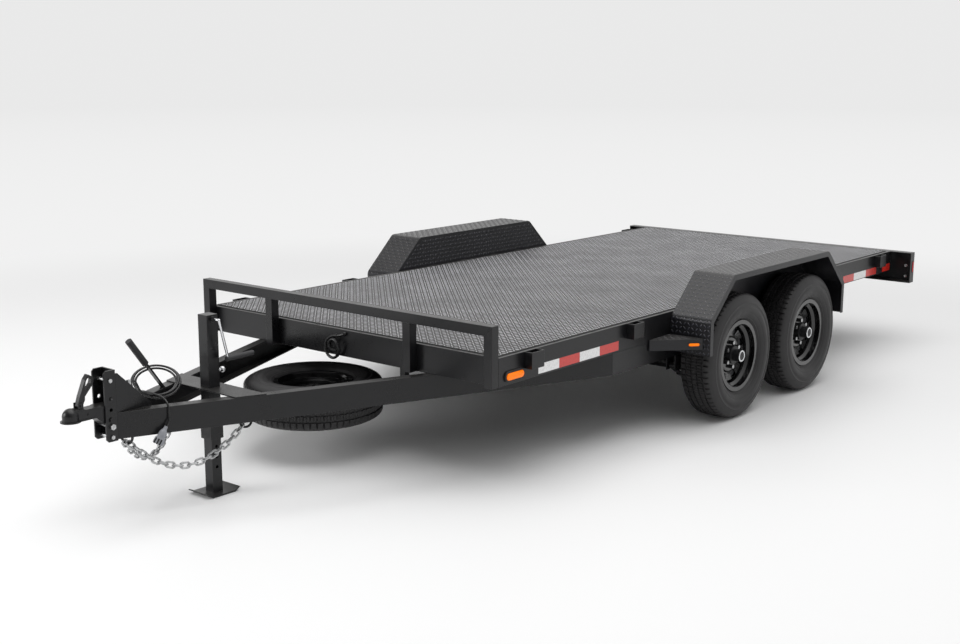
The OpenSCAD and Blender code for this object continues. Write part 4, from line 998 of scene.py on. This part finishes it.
def bead(shape, start, end, width, seed):
    """A rippled weld bead along a straight joint."""
    start, end = Vector(start), Vector(end)
    count = max(4, int((end - start).length / RIPPLE))
    draw = random.Random(seed)
    points, radii = [], []
    for i in range(count + 1):
        points.append(start.lerp(end, i / count))
        tip = i in (0, count)
        radii.append(width / 2 * (0.55 if tip else 1.0) * (1.0 if i % 2 else 0.86) * draw.uniform(0.92, 1.06))
    shape.add(*tube(points, radii, 7))


class TRAILER_OT_welds(bpy.types.Operator):
    """Runs the weld beads that show at the frame's joints"""
    bl_idname = "trailer.welds"
    bl_label = "Welds"

    def execute(self, context):
        shape = Shape()
        corner, top, middle = TUBE_HIGH.y, RAIL_HIGH.z, (FENDER_LOW.y + FENDER_HIGH.y) / 2
        up = top + STITCH_UP
        beads = []
        for s in SIDES:
            x, edge = s * HALF_W, s * DECK_HIGH.x
            # Mitre of the bed's corner
            beads.append(((x, corner, top), (x - s * MITRE, corner + MITRE, top), 0.6))
            # Stitches along the deck plate's sides
            y = DECK_LOW.y + 0.12
            while y < DECK_HIGH.y - 0.06:
                beads.append(((edge, y, up), (edge, y + STITCH, up), 0.8))
                y += STITCH_PITCH
            # Fender against the side channel
            for start in FENDER_BEADS:
                beads.append(((x, middle + start, top), (x, middle + start + FENDER_BEAD, top), 0.8))
        # Stitches along the deck plate's ends
        x = -DECK_HIGH.x + 0.15
        while x < DECK_HIGH.x - 0.1:
            for y in (DECK_LOW.y, DECK_HIGH.y):
                beads.append(((x, y, up), (x + STITCH, y, up), 0.8))
            x += STITCH_PITCH
        for seed, (a, b, size) in enumerate(beads, 1):
            bead(shape, a, b, sizes().weld * size, seed)
        piece("weld_beads", shape, looks("weld"), 60)
        return {"FINISHED"}


# Stage

# Brightness of the backdrop's top against its foot
BACKDROP_TOP = 0.93
FLOOR_RADIUS, FLOOR_STEPS = 60.0, 96
# Distances from the trailer where the floor turns into the backdrop, and where that darkens to its top
FLOOR_TURNS, FLOOR_FADES = (3.7, 7.6), (9.0, 45.0)


def area_light(name, at, towards, size, power):
    data = bpy.data.lights.new(name, "AREA")
    data.shape, data.size, data.energy = "DISK", size, power
    made = placed(name, data)
    made.location = at
    made.rotation_mode = "QUATERNION"
    made.rotation_quaternion = (Vector(towards) - Vector(at)).to_track_quat("-Z", "Y")


def studio_floor():
    """Painted concrete of a studio, almost white. The eye sees the soft shadow and a faint sheen."""
    made = bpy.data.materials.new("Studio floor paint")
    made.use_nodes = True
    tree = made.node_tree
    tree.nodes.clear()
    at = node(tree, "TexCoord", output="Object")
    flat = node(tree, "VectorMath", (at, (1, 1, 0)), operation="MULTIPLY")
    away = node(tree, "VectorMath", (flat,), "Value", operation="LENGTH")
    far = node(tree, "MapRange", (away, FLOOR_TURNS[0], FLOOR_TURNS[1]),
               interpolation_type="SMOOTHSTEP")
    paint = node(tree, "BsdfPrincipled", {"Base Color": linear(colours().paper), "Roughness": 0.5,
                                          "Specular IOR Level": 0.2})
    fade = node(tree, "MapRange", (away, FLOOR_FADES[0], FLOOR_FADES[1], 1.0, BACKDROP_TOP))
    beyond = node(tree, "Emission", (linear(colours().backdrop), fade))
    node(tree, "OutputMaterial", (node(tree, "MixShader", (far, paint, beyond)),))
    return made


def studio_world():
    """Soft white light, with a backdrop that only the camera and the reflections see."""
    made = bpy.data.worlds.new("Studio")
    made.use_nodes = True
    tree = made.node_tree
    tree.nodes.clear()
    rays = node(tree, "LightPath").node.outputs
    seen = rays["Is Camera Ray"]
    for name in ("Is Glossy Ray", "Is Transmission Ray"):
        seen = node(tree, "Math", (seen, rays[name]), operation="MAXIMUM")
    soft = node(tree, "Background", ((1, 1, 1, 1), 0.5))
    # Reflections see the dark half of the studio in front of the trailer, and the white sweep behind it
    heading = node(tree, "SeparateXYZ", (node(tree, "TexCoord", output="Generated"),), "Y")
    dark = node(tree, "MapRange", (heading, 0.15, -0.55, 1.0, 0.22))
    strength = node(tree, "MapRange", (rays["Is Camera Ray"], 0.0, 1.0, dark, BACKDROP_TOP))
    shown = node(tree, "Background", (linear(colours().backdrop), strength))
    node(tree, "OutputWorld", (node(tree, "MixShader", (seen, soft, shown)),))
    return made


class TRAILER_OT_stage(bpy.types.Operator):
    """Sets the pale floor, the soft light and the background"""
    bl_idname = "trailer.stage"
    bl_label = "Stage"

    def execute(self, context):
        angles = [2 * math.pi * k / FLOOR_STEPS for k in range(FLOOR_STEPS)]
        mesh = bpy.data.meshes.new("floor")
        mesh.from_pydata([(FLOOR_RADIUS * math.cos(a), FLOOR_RADIUS * math.sin(a), 0.0) for a in angles], [],
                         [tuple(range(FLOOR_STEPS))])
        floor = placed("floor", mesh)
        floor.location.z = -0.2 * MM
        mesh.materials.append(studio_floor())
        context.scene.world = studio_world()
        area_light("Overhead", (0.9, -1.0, 8.5), (0.3, -0.4, 0), 11.0, 570)
        area_light("Side fill", (-5.0, -8.5, 3.0), (0, -1.5, 0), 4.5, 300)
        context.scene.view_settings.view_transform = "Standard"
        return {"FINISHED"}


class TRAILER_PT_looks(bpy.types.Panel):
    """Lists the trailer's pieces, sizes and colours"""
    bl_label = "Trailer looks"
    bl_idname = "TRAILER_PT_looks"
    bl_space_type = "VIEW_3D"
    bl_region_type = "UI"
    bl_category = "Trailer"

    def draw(self, context):
        for made in OPERATORS:
            self.layout.operator(made.bl_idname)
        for group in (context.scene.trailer_sizes, context.scene.trailer_colours):
            box = self.layout.box()
            for key in group.__annotations__:
                box.prop(group, key)


OPERATORS = (TRAILER_OT_cable, TRAILER_OT_wiring, TRAILER_OT_finishes, TRAILER_OT_deck_tread,
             TRAILER_OT_fender_tread, TRAILER_OT_hub_rings, TRAILER_OT_tyres, TRAILER_OT_lamps,
             TRAILER_OT_fittings, TRAILER_OT_tape, TRAILER_OT_welds, TRAILER_OT_stage)
CLASSES = (TrailerColours, TrailerSizes, *OPERATORS, TRAILER_PT_looks)


def register():
    for made in CLASSES:
        bpy.utils.register_class(made)
    bpy.types.Scene.trailer_colours = bpy.props.PointerProperty(type=TrailerColours)
    bpy.types.Scene.trailer_sizes = bpy.props.PointerProperty(type=TrailerSizes)


def unregister():
    del bpy.types.Scene.trailer_sizes, bpy.types.Scene.trailer_colours
    for made in reversed(CLASSES):
        bpy.utils.unregister_class(made)


def main():
    register()
    place_camera()
    for made in OPERATORS:
        group, name = made.bl_idname.split(".")
        getattr(getattr(bpy.ops, group), name)()


if __name__ == "__main__":
    main()
